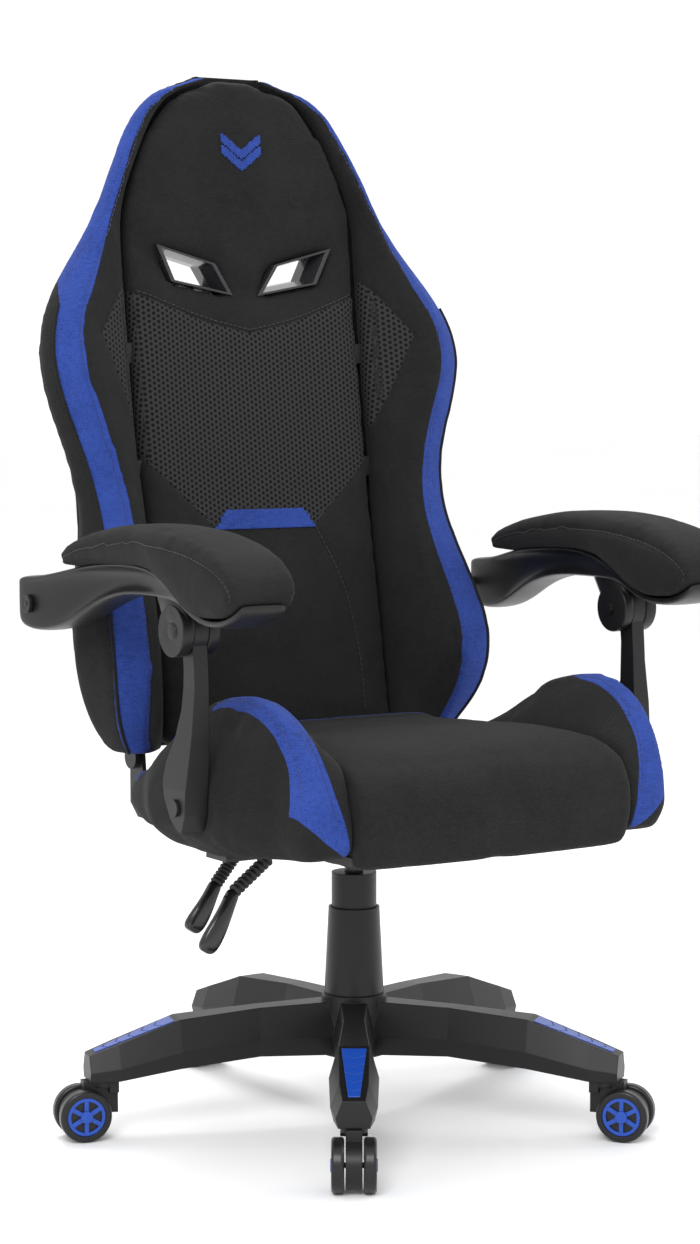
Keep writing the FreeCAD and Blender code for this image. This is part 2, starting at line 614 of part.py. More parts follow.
def build_seat():
    """Board, cushion, wings, sewn trim and the steel fittings under them."""
    board = box((-SEAT_CREASE_HALF, SEAT_CREASE_HALF), (BOARD_FRONT, BOARD_REAR),
                (SEAT_BOTTOM, SEAT_BOTTOM + SEAT_BOARD_THICKNESS))
    strap = arm_strap()
    hinge = lower_hinge()
    fittings = strap.fuse(hinge)
    save("seat_board", board.cut(fittings))
    cushion = seat_solid()
    band_zone = box((-SEAT_CREASE_HALF, SEAT_CREASE_HALF), (REAR_BAND_Y, REAR_BAND_Y + REAR_BAND_WIDTH),
                    (430, 470))
    save("side_fittings", Part.makeCompound([strap, hinge]))
    stripe = wing_stripe()
    wing = loft(wing_sections(TRIM_THICKNESS * 0.4)).cut(fittings).cut(stripe)
    save("seat_wing_left", wing)
    save("seat_wing_right", mirrored(wing))
    band = band_zone.common(cushion)
    lowered = band.copy()
    lowered.translate(V(0, 0, -TRIM_THICKNESS))
    band = band.cut(lowered)
    save("seat_cushion", cushion.cut(fittings).cut(band))
    save("seat_trim", Part.makeCompound([stripe, mirrored(stripe), band]))


def arm_strap():
    """Steel strap across the underside that carries both struts."""
    low = TRAY_TOP + SEAT_PLATE_THICKNESS
    high = SEAT_BOTTOM
    outer = ARM_EAR_INNER - 8
    strap = box((-outer, outer), (STRUT_PIVOT_Y - 22, STRUT_PIVOT_Y + 22), (low, high))
    ear = [(STRUT_PIVOT_Y - 22, low), (STRUT_PIVOT_Y + 22, low), (STRUT_PIVOT_Y + 15, STRUT_PIVOT_Z + 14),
           (STRUT_PIVOT_Y - 15, STRUT_PIVOT_Z + 14)]
    side = prism_x(ear, outer - BRACKET_THICKNESS, outer)
    pin = rod_x(STRUT_PIN_RADIUS, outer - 1, STRUT_FOOT_OUTER + 0.5, STRUT_PIVOT_Y, STRUT_PIVOT_Z)
    head = rod_x(PIVOT_HEAD_RADIUS, STRUT_FOOT_OUTER + RUNNING_GAP,
                 STRUT_FOOT_OUTER + RUNNING_GAP + PIVOT_HEAD_THICKNESS,
                 STRUT_PIVOT_Y, STRUT_PIVOT_Z)
    neck = rod_x(STRUT_PIN_RADIUS, STRUT_FOOT_OUTER, STRUT_FOOT_OUTER + RUNNING_GAP + 1,
                 STRUT_PIVOT_Y, STRUT_PIVOT_Z)
    right = side.fuse([pin, neck, head])
    return strap.fuse([right, mirrored(right)]).removeSplitter()


def recline_pivot():
    """The recline axis (y, z): it closes the parallelogram of each arm."""
    return (REAR_PIVOT_Y - HUB_PIVOT_Y + STRUT_PIVOT_Y, REAR_PIVOT_Z - HUB_PIVOT_Z + STRUT_PIVOT_Z)


def lower_hinge():
    """Hinge plates from the seat back to the recline axis, with their pins."""
    y, z = recline_pivot()
    low = TRAY_TOP + SEAT_PLATE_THICKNESS
    plate = prism_x([(20, low), (y - 4, low), (y + 15, low + 16), (y + 15, z), (y - 15, z),
                     (y - 22, low + 14), (20, low + 4)],
                    hinge_x(), hinge_x() + BRACKET_THICKNESS)
    eye = rod_x(15, hinge_x(), hinge_x() + BRACKET_THICKNESS, y, z)
    pin = rod_x(STRUT_PIN_RADIUS, hinge_x(), hinge_x() + 2 * BRACKET_THICKNESS + 3, y, z)
    side = plate.fuse([eye, pin]).removeSplitter()
    bar = box((-hinge_x(), hinge_x()), (20, 50), (low, low + 4))
    return bar.fuse([side, mirrored(side)]).removeSplitter()


def hinge_x():
    """Inner face of the seat's hinge plates."""
    return FRAME_BAR_X - BRACKET_THICKNESS - 2


# ---- Arms --------------------------------------------------------------------------
def strut():
    """Upright that leans in at the top and widens down to its foot."""
    outline = [(-150, 384), (-157, 402), (-160, 440), (-163, 490), (-161, 545), (-157, 596),
               (-134, 590), (-137, 560), (-136, 515), (-127, 484), (-112, 458), (-108, 438), (-112, 418),
               (-126, 396), (-140, 386)]
    body = prism_x(outline, STRUT_INNER, STRUT_FOOT_OUTER)
    slope = prism_y([(STRUT_INNER - 1, 380), (STRUT_FOOT_OUTER, 380), (STRUT_FOOT_OUTER, 430),
                     (STRUT_TOP_OUTER, 540), (STRUT_TOP_OUTER, 640), (STRUT_INNER - 1, 640)], -200, -90)
    body = body.common(slope)
    barrel = rod_x(HUB_BARREL_RADIUS - 1, STRUT_INNER, STRUT_TOP_OUTER, HUB_PIVOT_Y, HUB_PIVOT_Z)
    body = body.fuse(barrel).removeSplitter()
    pin = rod_x(HUB_PIN_RADIUS, ARM_EAR_INNER - PIVOT_HEAD_THICKNESS - RUNNING_GAP,
                ARM_EAR_OUTER - HUB_PIN_INSET, HUB_PIVOT_Y, HUB_PIVOT_Z)
    foot_hole = rod_x(STRUT_PIN_RADIUS + SHAFT_CLEARANCE, STRUT_INNER - 1, STRUT_FOOT_OUTER + 1,
                      STRUT_PIVOT_Y, STRUT_PIVOT_Z)
    return body.fuse(pin).cut(foot_hole).removeSplitter()


ARCH_TOP = [(196, 640), (165, 642), (130, 648), (90, 657), (40, 666), (-15, 670), (-70, 671), (-112, 665),
            (-150, 648), (-186, 628), (-214, 620), (-262, 622), (-288, 634)]
ARCH_UNDER = [(-290, 628), (-262, 613), (-214, 611), (-168, 596), (-104, 604), (-97, 626), (-47, 635),
              (-11, 632), (41, 618), (90, 592), (119, 584), (162, 580), (186, 588), (196, 610)]


def arch_under_at(y):
    """Height of the arm's underside at y."""
    points = sorted(ARCH_UNDER[3:])
    for (y0, z0), (y1, z1) in zip(points, points[1:]):
        if y0 <= y <= y1:
            return z0 + (z1 - z0) * (y - y0) / (y1 - y0)
    return points[-1][1]


def arm_beam():
    """Arched arm: top flange under the pad, web, front ears and a flared rear end."""
    body = prism_x(ARCH_TOP + ARCH_UNDER, ARM_EAR_INNER - 6, 336)
    plan = [(268, -296), (322, -296), (ARM_EAR_OUTER + 4, -60), (324, 60), (336, 120), (336, 200),
            (302, 200), (300, 150), (284, 90), (268, 30)]
    body = body.common(prism_z(plan, 560, 700))
    ears = rod_x(HUB_BARREL_RADIUS, ARM_EAR_INNER, ARM_EAR_OUTER, HUB_PIVOT_Y, HUB_PIVOT_Z)
    body = body.fuse(ears)
    groove_top = [(y, z - 12) for y, z in ARCH_TOP[3:8]]
    groove_low = [(y, arch_under_at(y) + 8) for y, z in reversed(ARCH_TOP[3:8])]
    groove = prism_x(groove_top + groove_low, 0, 12)
    outer_groove = groove.copy()
    outer_groove.translate(V(310, 0, 0))
    inner_groove = groove.copy()
    inner_groove.translate(V(266, 0, 0))
    strut_room = rod_x(HUB_BARREL_RADIUS + RUNNING_GAP, STRUT_INNER - RUNNING_GAP,
                       STRUT_TOP_OUTER + RUNNING_GAP, HUB_PIVOT_Y, HUB_PIVOT_Z)
    below = box((STRUT_INNER - RUNNING_GAP, STRUT_TOP_OUTER + RUNNING_GAP), (-200, -90), (560, HUB_PIVOT_Z))
    pin_hole = rod_x(HUB_PIN_RADIUS + SHAFT_CLEARANCE, ARM_EAR_INNER - 10,
                     ARM_EAR_OUTER - HUB_PIN_INSET + RUNNING_GAP, HUB_PIVOT_Y, HUB_PIVOT_Z)
    rear_hole = rod_x(REAR_PIN_RADIUS + OPEN_PIVOT_CLEARANCE, 290, 326, REAR_PIVOT_Y, REAR_PIVOT_Z)
    for cutter in (outer_groove, inner_groove, strut_room, below, pin_hole, rear_hole):
        body = body.cut(cutter)
    return body.removeSplitter()


def arm_pad():
    """Padded arm rest that curves down over the front of the arm."""
    lift = 1.0
    under = [(y, z + lift) for y, z in ARCH_TOP[3:]]
    over = [(PAD_FRONT_Y - 3, 652), (-288, 668), (-268, 684), (-236, 696), (-186, 705), (-119, 709),
            (-45, 706), (33, 695), (76, 683), (98, 670)]
    half = PAD_WIDTH / 2
    return prism_x(under + over, PAD_CENTRE - half, PAD_CENTRE + half)


def build_arms():
    """Strut, beam and pad on each side."""
    for label, piece in (("arm_strut", strut()), ("arm_beam", arm_beam()), ("arm_pad", arm_pad())):
        save(label + "_left", piece)
        save(label + "_right", mirrored(piece))


# ---- Backrest ----------------------------------------------------------------------
def seam_x(station):
    """Half-width of the centre panel at a station: it narrows with the head."""
    return min(SEAM_HALF, station[2][0] - 10)


def shell_front(station):
    """y of the shell's front face at a station."""
    return station[6] - BACK_THICKNESS_SHELL


def back_shell():
    """Thin rear shell that follows the lean of the back."""
    sections = []
    for station in BACK_STATIONS:
        z, corner, rear = station[0], station[5], station[6]
        half = corner[0]
        front = shell_front(station)
        points = [(-half, front - 6), (-half * 0.6, front), (half * 0.6, front), (half, front - 6),
                  (half - 2, corner[1] + 3), (half * 0.6, rear), (-half * 0.6, rear),
                  (2 - half, corner[1] + 3)]
        sections.append([V(x, y, z) for x, y in points])
    return loft(sections)


def back_centre():
    """Centre cushion between the two vertical seams."""
    sections = []
    for station in BACK_STATIONS:
        z, front = station[0], station[1]
        half = seam_x(station) - BACK_SEAM_GAP
        rear = shell_front(station) - BACK_PANEL_GAP
        points = [(-half, front - 4), (-half * 0.5, front), (half * 0.5, front), (half, front - 4),
                  (half, rear), (-half, rear)]
        sections.append([V(x, y, z) for x, y in points])
    return loft(sections)


def back_bolster():
    """Side bolster outside one seam; its coloured strip lies in a shallow recess."""
    sections = []
    for station in BACK_STATIONS:
        z, front, crest, strip, side, corner = station[:6]
        inner = seam_x(station)
        rear = shell_front(station) - 6 - BACK_PANEL_GAP
        sink = TRIM_THICKNESS
        points = [(inner, front - 4), (crest[0], crest[1] + sink), (strip[0] - sink * 0.5, strip[1] + sink),
                  side, (corner[0], rear), (inner, rear)]
        sections.append([V(x, y, z) for x, y in points])
    return loft(sections)


def back_strip():
    """Coloured strip on the front edge of one bolster."""
    sections = []
    for station in BACK_STATIONS[:14]:
        z, crest, strip = station[0], station[2], station[3]
        sink = TRIM_THICKNESS - 0.3
        points = [crest, strip, (strip[0] - sink * 0.5, strip[1] + sink), (crest[0], crest[1] + sink)]
        sections.append([V(x, y, z) for x, y in points])
    return loft(sections)


VENT_OUTLINE = [(124, 1031), (42, 1009), (17, 970), (103, 986)]


def vent_outline(scale):
    """The vent's outline scaled about its middle."""
    middle_x = sum(x for x, z in VENT_OUTLINE) / 4
    middle_z = sum(z for x, z in VENT_OUTLINE) / 4
    return [(middle_x + (x - middle_x) * scale, middle_z + (z - middle_z) * scale) for x, z in VENT_OUTLINE]


def vent_cut():
    """Opening through cushion and shell for one vent."""
    return prism_y(vent_outline(1), 200, 340)


def vent_bezel():
    """Funnel-shaped bezel that lines one vent from front to rear."""
    front = interpolated(BACK_STATIONS, 1000, lambda station: station[1]) - VENT_PROUD
    rear = interpolated(BACK_STATIONS, 1000, lambda station: station[6])
    waist = front + VENT_FUNNEL_DEPTH
    body = prism_y(vent_outline(0.99), front, rear)
    mouth = loft([[V(x, front - 1, z) for x, z in vent_outline(VENT_MOUTH_SCALE)],
                  [V(x, waist, z) for x, z in vent_outline(VENT_THROAT_SCALE)]])
    throat = prism_y(vent_outline(VENT_THROAT_SCALE), waist - 1, rear + 1)
    return body.cut(mouth).cut(throat)


def back_frame():
    """Steel frame between cushion and shell: uprights, cross bars, arm and hinge plates."""
    y, z = recline_pivot()
    sections = []
    for station in BACK_STATIONS[1:10]:
        rear = shell_front(station) - 6 - BACK_PANEL_GAP * 2
        front = rear - FRAME_BAR_THICKNESS
        x0, x1 = FRAME_BAR_X, FRAME_BAR_X + FRAME_BAR_THICKNESS
        sections.append([V(x0, front - FRAME_BAR_WIDTH, station[0]),
                         V(x1, front - FRAME_BAR_WIDTH, station[0]),
                         V(x1, rear, station[0]), V(x0, rear, station[0])])
    upright = loft(sections)
    foot = prism_x([(y - 13, z), (y + 13, z), (196 + 6, 470), (196 - 22, 470)],
                   FRAME_BAR_X, FRAME_BAR_X + FRAME_BAR_THICKNESS)
    eye = rod_x(14, FRAME_BAR_X, FRAME_BAR_X + FRAME_BAR_THICKNESS, y, z)
    arm_plate = box((FRAME_BAR_X, 268), (212, 218), (596, 628))
    arm_ear = box((262, 268), (REAR_PIVOT_Y - 14, 218), (596, 628))
    pin = rod_x(REAR_PIN_RADIUS, 262, 324, REAR_PIVOT_Y, REAR_PIVOT_Z)
    side = upright.fuse([foot, eye, arm_plate, arm_ear, pin])
    side = side.cut(rod_x(STRUT_PIN_RADIUS + SHAFT_CLEARANCE, FRAME_BAR_X - 1, FRAME_BAR_X + 20, y, z))
    bars = []
    for height in (520, 760, 900):
        middle = interpolated(BACK_STATIONS, height, shell_front) - 6 - BACK_PANEL_GAP * 2
        bars.append(box((-FRAME_BAR_X - 1, FRAME_BAR_X + 1), (middle - FRAME_BAR_THICKNESS - 8, middle - 8),
                        (height - 12, height + 12)))
    return side.fuse([mirrored(side)] + bars).removeSplitter()


def emblem():
    """Small chevron mark sewn on the head panel."""
    z0 = 1124
    mark = []
    for rise in (0, 14):
        mark.append([(0, z0 + rise), (26, z0 + rise + 20), (26, z0 + rise + 28), (0, z0 + rise + 8),
                     (-26, z0 + rise + 28), (-26, z0 + rise + 20)])
    front = interpolated(BACK_STATIONS, z0, lambda station: station[1])
    return Part.makeCompound([prism_y(outline, front - 2, front + 4) for outline in mark])


def lumbar_patch():
    """Coloured patch at the foot of the mesh panel."""
    outline = [(-69, 687), (69, 687), (58, 702), (44, 711), (-44, 711), (-58, 702)]
    return prism_y(outline, 205, 217)


def build_back():
    """Backrest soft parts, shell, frame, vents and trim."""
    frame = back_frame()
    shell = back_shell()
    centre = back_centre()
    bolster = back_bolster()
    vents = both_sides(vent_cut())
    patch = lumbar_patch().common(centre)
    mark = emblem().common(centre)
    clearance = both_sides(rod_x(20, FRAME_BAR_X - 12, FRAME_BAR_X + 12, *recline_pivot()))
    strip = back_strip()
    save("back_frame", frame)
    save("back_shell", shell.cut(vents).cut(frame).cut(clearance))
    save("back_cushion", centre.cut(shell).cut(vents).cut(frame).cut(clearance).cut(patch).cut(mark))
    bolster = largest_solid(bolster.cut(shell).cut(frame).cut(clearance).cut(strip))
    save("back_bolster_left", bolster)
    save("back_bolster_right", mirrored(bolster))
    save("back_trim", Part.makeCompound([strip, mirrored(strip), patch, mark]))
    bezel = vent_bezel()
    save("vent_bezels", both_sides(bezel))


def main():
    """Build every node."""
    build_casters()
    build_base()
    build_lift()
    build_swivel_plate()
    build_levers()
    build_seat()
    build_arms()
    build_back()


main()
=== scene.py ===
"""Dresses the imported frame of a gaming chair: cloth, foam, stitching, plastics, metal and a plain studio."""
import logging
import math
from dataclasses import dataclass, field
from enum import Enum
from typing import Callable, Iterable, Sequence

import bmesh
import bpy
import numpy as np
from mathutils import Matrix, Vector
from mathutils.bvhtree import BVHTree


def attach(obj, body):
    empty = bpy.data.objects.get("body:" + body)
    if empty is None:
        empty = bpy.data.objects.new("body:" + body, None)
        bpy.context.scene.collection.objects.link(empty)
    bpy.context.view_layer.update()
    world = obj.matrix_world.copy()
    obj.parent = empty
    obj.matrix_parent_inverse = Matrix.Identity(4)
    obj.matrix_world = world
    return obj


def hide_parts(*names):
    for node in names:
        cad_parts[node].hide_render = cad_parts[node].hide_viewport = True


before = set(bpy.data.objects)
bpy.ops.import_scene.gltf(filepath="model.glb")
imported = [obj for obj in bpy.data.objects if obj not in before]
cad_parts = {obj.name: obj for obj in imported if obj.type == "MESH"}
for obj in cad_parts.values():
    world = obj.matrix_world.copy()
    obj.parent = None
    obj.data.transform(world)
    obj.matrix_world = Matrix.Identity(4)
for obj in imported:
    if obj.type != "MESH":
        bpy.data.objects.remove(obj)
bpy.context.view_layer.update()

log = logging.getLogger("chair")

Colour = tuple[float, float, float, float]
Point = tuple[float, float, float]

SEAM_STEP = 0.003
STITCH_STEP = 0.0022
THREAD_RADIUS = 0.0005
FRONT_AIM = Vector((0.0, 1.0, 0.0))


def toned(colour: Colour, gain: float, lift: float = 0.0) -> Colour:
    """A colour with its parts scaled and lifted."""
    return tuple(part * gain + lift for part in colour[:3]) + (1.0,)


# ---- Shader writing ---------------------------------------------------------------------------

class Wire:
    """One number travelling through a shader, written with ordinary operators."""

    def __init__(self, bench: "Bench", socket: bpy.types.NodeSocket) -> None:
        """Holds a socket and the bench it belongs to.

        Args:
            bench: the bench whose tree the socket is in.
            socket: the output that carries the number.
        """
        self.bench = bench
        self.socket = socket

    def math(self, operation: str, *others: "Wire | float", clamp: bool = False) -> "Wire":
        """Adds a Math node that starts with this number.

        Args:
            operation: the node's operation.
            others: the second and third numbers, where the operation takes them.
            clamp: whether the result is kept between 0 and 1.

        Returns:
            The result.
        """
        values = {place: value for place, value in enumerate((self, *others))}
        return self.bench.node("ShaderNodeMath", {"operation": operation, "use_clamp": clamp}, values)

    def __add__(self, other: "Wire | float") -> "Wire":
        """This number plus another."""
        return self.math("ADD", other)

    __radd__ = __add__

    def __mul__(self, other: "Wire | float") -> "Wire":
        """This number times another."""
        return self.math("MULTIPLY", other)

    __rmul__ = __mul__

    def __sub__(self, other: "Wire | float") -> "Wire":
        """This number less another."""
        return self.math("SUBTRACT", other)

    def __rsub__(self, other: float) -> "Wire":
        """Another number less this one."""
        return self.math("MULTIPLY_ADD", -1.0, other)

    def __abs__(self) -> "Wire":
        """This number without its sign."""
        return self.math("ABSOLUTE")

    def sine(self) -> "Wire":
        """The sine of this number in radians."""
        return self.math("SINE")

    def cosine(self) -> "Wire":
        """The cosine of this number in radians."""
        return self.math("COSINE")

    def clamped(self) -> "Wire":
        """This number kept between 0 and 1."""
        return self.math("ADD", 0.0, clamp=True)

    def above(self, limit: float, soft: float) -> "Wire":
        """How far this number is past a limit, from 0 to 1.

        Args:
            limit: the value half way up.
            soft: the width of the slope.

        Returns:
            0 well below the limit and 1 well above it.
        """
        return self.math("MULTIPLY_ADD", 1.0 / soft, 0.5 - limit / soft, clamp=True)

    def largest(self, other: "Wire | float") -> "Wire":
        """The larger of this number and another."""
        return self.math("MAXIMUM", other)


class Bench:
    """The node tree of one finish, with one method that adds any node."""

    def __init__(self, name: str) -> None:
        """Starts a material with its shader and output.

        Args:
            name: the name of the finish.
        """
        self.material = bpy.data.materials.new(name)
        self.material.use_nodes = True
        self.tree = self.material.node_tree
        self.tree.nodes.clear()
        self.shader = self.tree.nodes.new("ShaderNodeBsdfPrincipled")
        output = self.tree.nodes.new("ShaderNodeOutputMaterial")
        self.tree.links.new(self.shader.outputs[0], output.inputs[0])

    def node(self, kind: str, settings: dict | None = None, inputs: dict | None = None,
             output: str | int = 0) -> Wire:
        """Adds a node.

        Args:
            kind: the node's type.
            settings: its own settings, such as a Math node's operation.
            inputs: values or wires by the name or number of the socket.
            output: the socket that is handed back.

        Returns:
            The chosen output.
        """
        made = self.tree.nodes.new(kind)
        for name, value in (settings or {}).items():
            setattr(made, name, value)
        for place, value in (inputs or {}).items():
            if isinstance(value, Wire):
                self.tree.links.new(value.socket, made.inputs[place])
            else:
                made.inputs[place].default_value = value
        return Wire(self, made.outputs[output])

    def place(self) -> Wire:
        """The point on the piece, in metres."""
        return self.node("ShaderNodeTexCoord", output="Object")

    def split(self, vector: Wire) -> tuple[Wire, Wire, Wire]:
        """The three parts of a vector.

        Args:
            vector: the vector.

        Returns:
            Its x, y and z.
        """
        first = self.node("ShaderNodeSeparateXYZ", inputs={0: vector})
        outputs = first.socket.node.outputs
        return first, Wire(self, outputs[1]), Wire(self, outputs[2])

    def noise(self, vector: Wire, scale: float, detail: float = 3.0, roughness: float = 0.55) -> Wire:
        """A cloudy pattern from 0 to 1.

        Args:
            vector: where it is read.
            scale: how many clouds to a metre.
            detail: how many finer layers it has.
            roughness: how strong the finer layers are.

        Returns:
            The pattern.
        """
        return self.node("ShaderNodeTexNoise", inputs={
            "Vector": vector, "Scale": scale, "Detail": detail, "Roughness": roughness})

    def stretched(self, vector: Wire, by: Point) -> Wire:
        """A vector with each part times its own number."""
        return self.node("ShaderNodeVectorMath", {"operation": "MULTIPLY"}, {0: vector, 1: by})

    def mixed(self, amount: Wire | float, first: Wire | Colour, second: Wire | Colour) -> Wire:
        """Two colours mixed.

        Args:
            amount: 0 for the first colour and 1 for the second.
            first: the first colour.
            second: the second colour.

        Returns:
            The mixed colour.
        """
        return self.node("ShaderNodeMix", {"data_type": "RGBA"}, {0: amount, 6: first, 7: second}, 2)

    def bump(self, height: Wire, distance: float, strength: float = 1.0, under: Wire | None = None) -> Wire:
        """A surface raised by a height.

        Args:
            height: the height from 0 to 1.
            distance: how far 1 stands up, in metres.
            strength: how much of it shows.
            under: a coarser bump beneath this one.

        Returns:
            The bent normal.
        """
        inputs: dict = {"Height": height, "Distance": distance, "Strength": strength}
        if under is not None:
            inputs["Normal"] = under
        return self.node("ShaderNodeBump", inputs=inputs)

    def cloth_axes(self, place: Wire) -> tuple[Wire, Wire]:
        """The two directions that threads run in on whichever way the cloth faces.

        Args:
            place: the point on the piece.

        Returns:
            The coordinates across and along the cloth.
        """
        x, y, z = self.split(place)
        facing = self.split(self.node("ShaderNodeTexCoord", output="Normal"))
        side = abs(facing[0]).above(0.72, 0.02)
        top = abs(facing[2]).above(0.72, 0.02)
        return x + side * (y - x), z + top * (y - z)

    def set(self, **values: Wire | float | Colour) -> bpy.types.Material:
        """Fills the shader's sockets.

        Args:
            values: a value or wire for each socket, named with underscores for spaces.

        Returns:
            The finished material.
        """
        for name, value in values.items():
            socket = self.shader.inputs[name.replace("_", " ")]
            if isinstance(value, Wire):
                self.tree.links.new(value.socket, socket)
            else:
                socket.default_value = value
        return self.material


# ---- Finishes ---------------------------------------------------------------------------------

class Weave(Enum):
    """How the threads of a cloth cross."""
    PLAIN = "plain"
    TWILL = "twill"


class NetZone(Enum):
    """Which part of a piece is made of open spacer net in place of cloth."""
    NONE = "none"
    CENTRE = "centre"
    SIDE = "side"


@dataclass(frozen=True)
class Yarn:
    """The yarn and the weave of one cloth."""
    dark: Colour
    light: Colour
    weave: Weave
    pitch: float
    streak: float = 0.5

    def height(self, u: Wire, v: Wire) -> Wire:
        """The thread pattern.

        Args:
            u: the coordinate across the cloth.
            v: the coordinate along the cloth.

        Returns:
            Thread height from 0 to 1.
        """
        turn = 2 * math.pi / self.pitch
        if self.weave is Weave.TWILL:
            ribs = ((u + v * 0.6) * turn).sine()
            return ribs * 0.32 + (v * (turn * 0.55)).sine() * (u * turn).sine() * 0.18 + 0.5
        return (u * turn).sine() * (v * turn).sine() * 0.5 + 0.5

    def colour(self, bench: Bench, place: Wire, height: Wire) -> Wire:
        """The heathered colour of the cloth.

        Args:
            bench: the bench of the finish.
            place: the point on the piece.
            height: the thread height.

        Returns:
            The colour.
        """
        across = bench.noise(bench.stretched(place, (1.0, 1.0, 0.12)), 900.0, 1.0)
        along = bench.noise(bench.stretched(place, (0.12, 0.12, 1.0)), 900.0, 1.0)
        cloud = bench.noise(place, 14.0, 3.0)
        thread = across * self.streak + along * self.streak + height * 0.45 + cloud * 0.5 - 0.52
        return bench.mixed(thread.above(0.36, 0.7), self.dark, self.light)


BLACK_YARN = Yarn((0.0040, 0.0040, 0.0043, 1), (0.0165, 0.0167, 0.0175, 1), Weave.PLAIN, 0.0024)
BLUE_YARN = Yarn((0.0026, 0.0088, 0.063, 1), (0.027, 0.059, 0.275, 1), Weave.TWILL, 0.0026, 0.62)


@dataclass(frozen=True)
class Upholstery:
    """Chair cloth: black yarn, with blue where the piece's trim attribute is high and net in its zone."""
    name: str
    net: NetZone = NetZone.NONE
    sheen: float = 0.03
    roughness: float = 0.84
    net_pitch: float = 0.0058
    net_thread: Colour = (0.025, 0.025, 0.0265, 1)
    # Near-black hole colour: painted shade for the dark space seen through the net's holes.
    net_hole_shade: Colour = (0.002, 0.002, 0.0022, 1)

    def net_mask(self, bench: Bench, place: Wire) -> Wire:
        """Where the net is, by the seams that bound it.

        Args:
            bench: the bench of the finish.
            place: the point on the piece.

        Returns:
            1 on the net and 0 elsewhere.
        """
        x, _, z = bench.split(place)
        out = abs(x)
        if self.net is NetZone.CENTRE:
            upper = (out * 0.21 + 0.925).largest(out * 0.367 + 0.9152)
            lower = (out * 0.9556 + 0.6211).largest(0.687)
        else:
            upper = 1.207 - out * 1.2877
            lower = out * 2.185 + 0.4433
        return (upper - z).above(0.0, 0.002) * (z - lower).above(0.0, 0.002)

    def build(self) -> bpy.types.Material:
        """Writes the shader.

        Returns:
            The material.
        """
        bench = Bench(self.name)
        place = bench.place()
        u, v = bench.cloth_axes(place)
        trim = bench.node("ShaderNodeAttribute", {"attribute_name": "trim"}, output="Fac")
        trim = trim.above(0.44, 0.04)
        black = BLACK_YARN.height(u, v)
        blue = BLUE_YARN.height(u, v)
        height = black + trim * (blue - black)
        colour = bench.mixed(trim, BLACK_YARN.colour(bench, place, black),
                             BLUE_YARN.colour(bench, place, blue))
        rough = bench.noise(place, 60.0, 2.0) * 0.1 + (self.roughness - 0.05)
        if self.net is not NetZone.NONE:
            mask = self.net_mask(bench, place)
            turn = 2 * math.pi / self.net_pitch
            comb = (u * turn).cosine() + ((u * 0.5 + v * 0.866) * turn).cosine() \
                + ((u * 0.5 - v * 0.866) * turn).cosine()
            hole = comb.above(0.35, 1.3)
            # The holes of the net take the near-black hole colour, painted shade for the space behind the net.
            colour = bench.mixed(mask, colour, bench.mixed(hole, self.net_thread, self.net_hole_shade))
            height = height + mask * ((1.0 - hole) - height)
            rough = rough - mask * 0.12
        creases = bench.noise(bench.stretched(place, (1.0, 1.0, 0.7)), 22.0, 3.0, 0.6)
        coarse = bench.bump(creases, 0.0035, 0.5)
        return bench.set(Base_Color=colour, Roughness=rough, Normal=bench.bump(height, 0.00055, 0.75, coarse),
                         Sheen_Weight=self.sheen, Sheen_Roughness=0.45, Specular_IOR_Level=0.12)


@dataclass(frozen=True)
class Thread:
    """Twisted sewing thread."""
    name: str
    colour: Colour

    def build(self) -> bpy.types.Material:
        """Writes the shader.

        Returns:
            The material.
        """
        bench = Bench(self.name)
        place = bench.place()
        twist = bench.noise(place, 1500.0, 1.0)
        return bench.set(Base_Color=bench.mixed(twist, toned(self.colour, 0.55), self.colour),
                         Roughness=twist * 0.2 + 0.5, Normal=bench.bump(twist, 0.0002, 0.6), Sheen_Weight=0.2)


@dataclass(frozen=True)
class MouldedPlastic:
    """Moulded nylon with a spark-eroded grain, faint flow clouds and rubbed patches."""
    name: str
    colour: Colour
    roughness: float
    grain: float = 0.00006
    coat: float = 0.0
    scuff: float = 0.25
    corner: float = 0.0016

    def build(self) -> bpy.types.Material:
        """Writes the shader.

        Returns:
            The material.
        """
        bench = Bench(self.name)
        place = bench.place()
        fine = bench.noise(place, 1400.0, 2.0)
        cloud = bench.noise(place, 9.0, 4.0, 0.6)
        rubs = bench.noise(bench.stretched(place, (1.0, 1.0, 3.0)), 70.0, 5.0, 0.65).above(0.66, 0.16)
        soft = bench.node("ShaderNodeBevel", {"samples": 4}, {"Radius": self.corner})
        tone = (cloud * 0.45 + rubs * self.scuff + fine * 0.15).clamped()
        rough = cloud * 0.12 + rubs * (self.scuff * 0.35) + (self.roughness - 0.06)
        return bench.set(Base_Color=bench.mixed(tone, self.colour, toned(self.colour, 1.45, 0.002)),
                         Roughness=rough, Normal=bench.bump(fine, self.grain, 0.6, soft),
                         Coat_Weight=self.coat, Coat_Roughness=0.12, Specular_IOR_Level=0.30)


@dataclass(frozen=True)
class WorkedMetal:
    """Painted or plated steel with fine turning lines."""
    name: str
    colour: Colour
    metallic: float
    roughness: float

    def build(self) -> bpy.types.Material:
        """Writes the shader.

        Returns:
            The material.
        """
        bench = Bench(self.name)
        place = bench.place()
        lines = bench.noise(bench.stretched(place, (0.15, 0.15, 1.0)), 1200.0, 2.0)
        spots = bench.noise(place, 120.0, 4.0)
        wear = spots * 0.6 + lines * 0.3
        rough = lines * 0.12 + spots * 0.08 + (self.roughness - 0.08)
        return bench.set(Base_Color=bench.mixed(wear, self.colour, toned(self.colour, 0.7)),
                         Metallic=self.metallic, Roughness=rough, Normal=bench.bump(lines, 0.00004, 0.5))


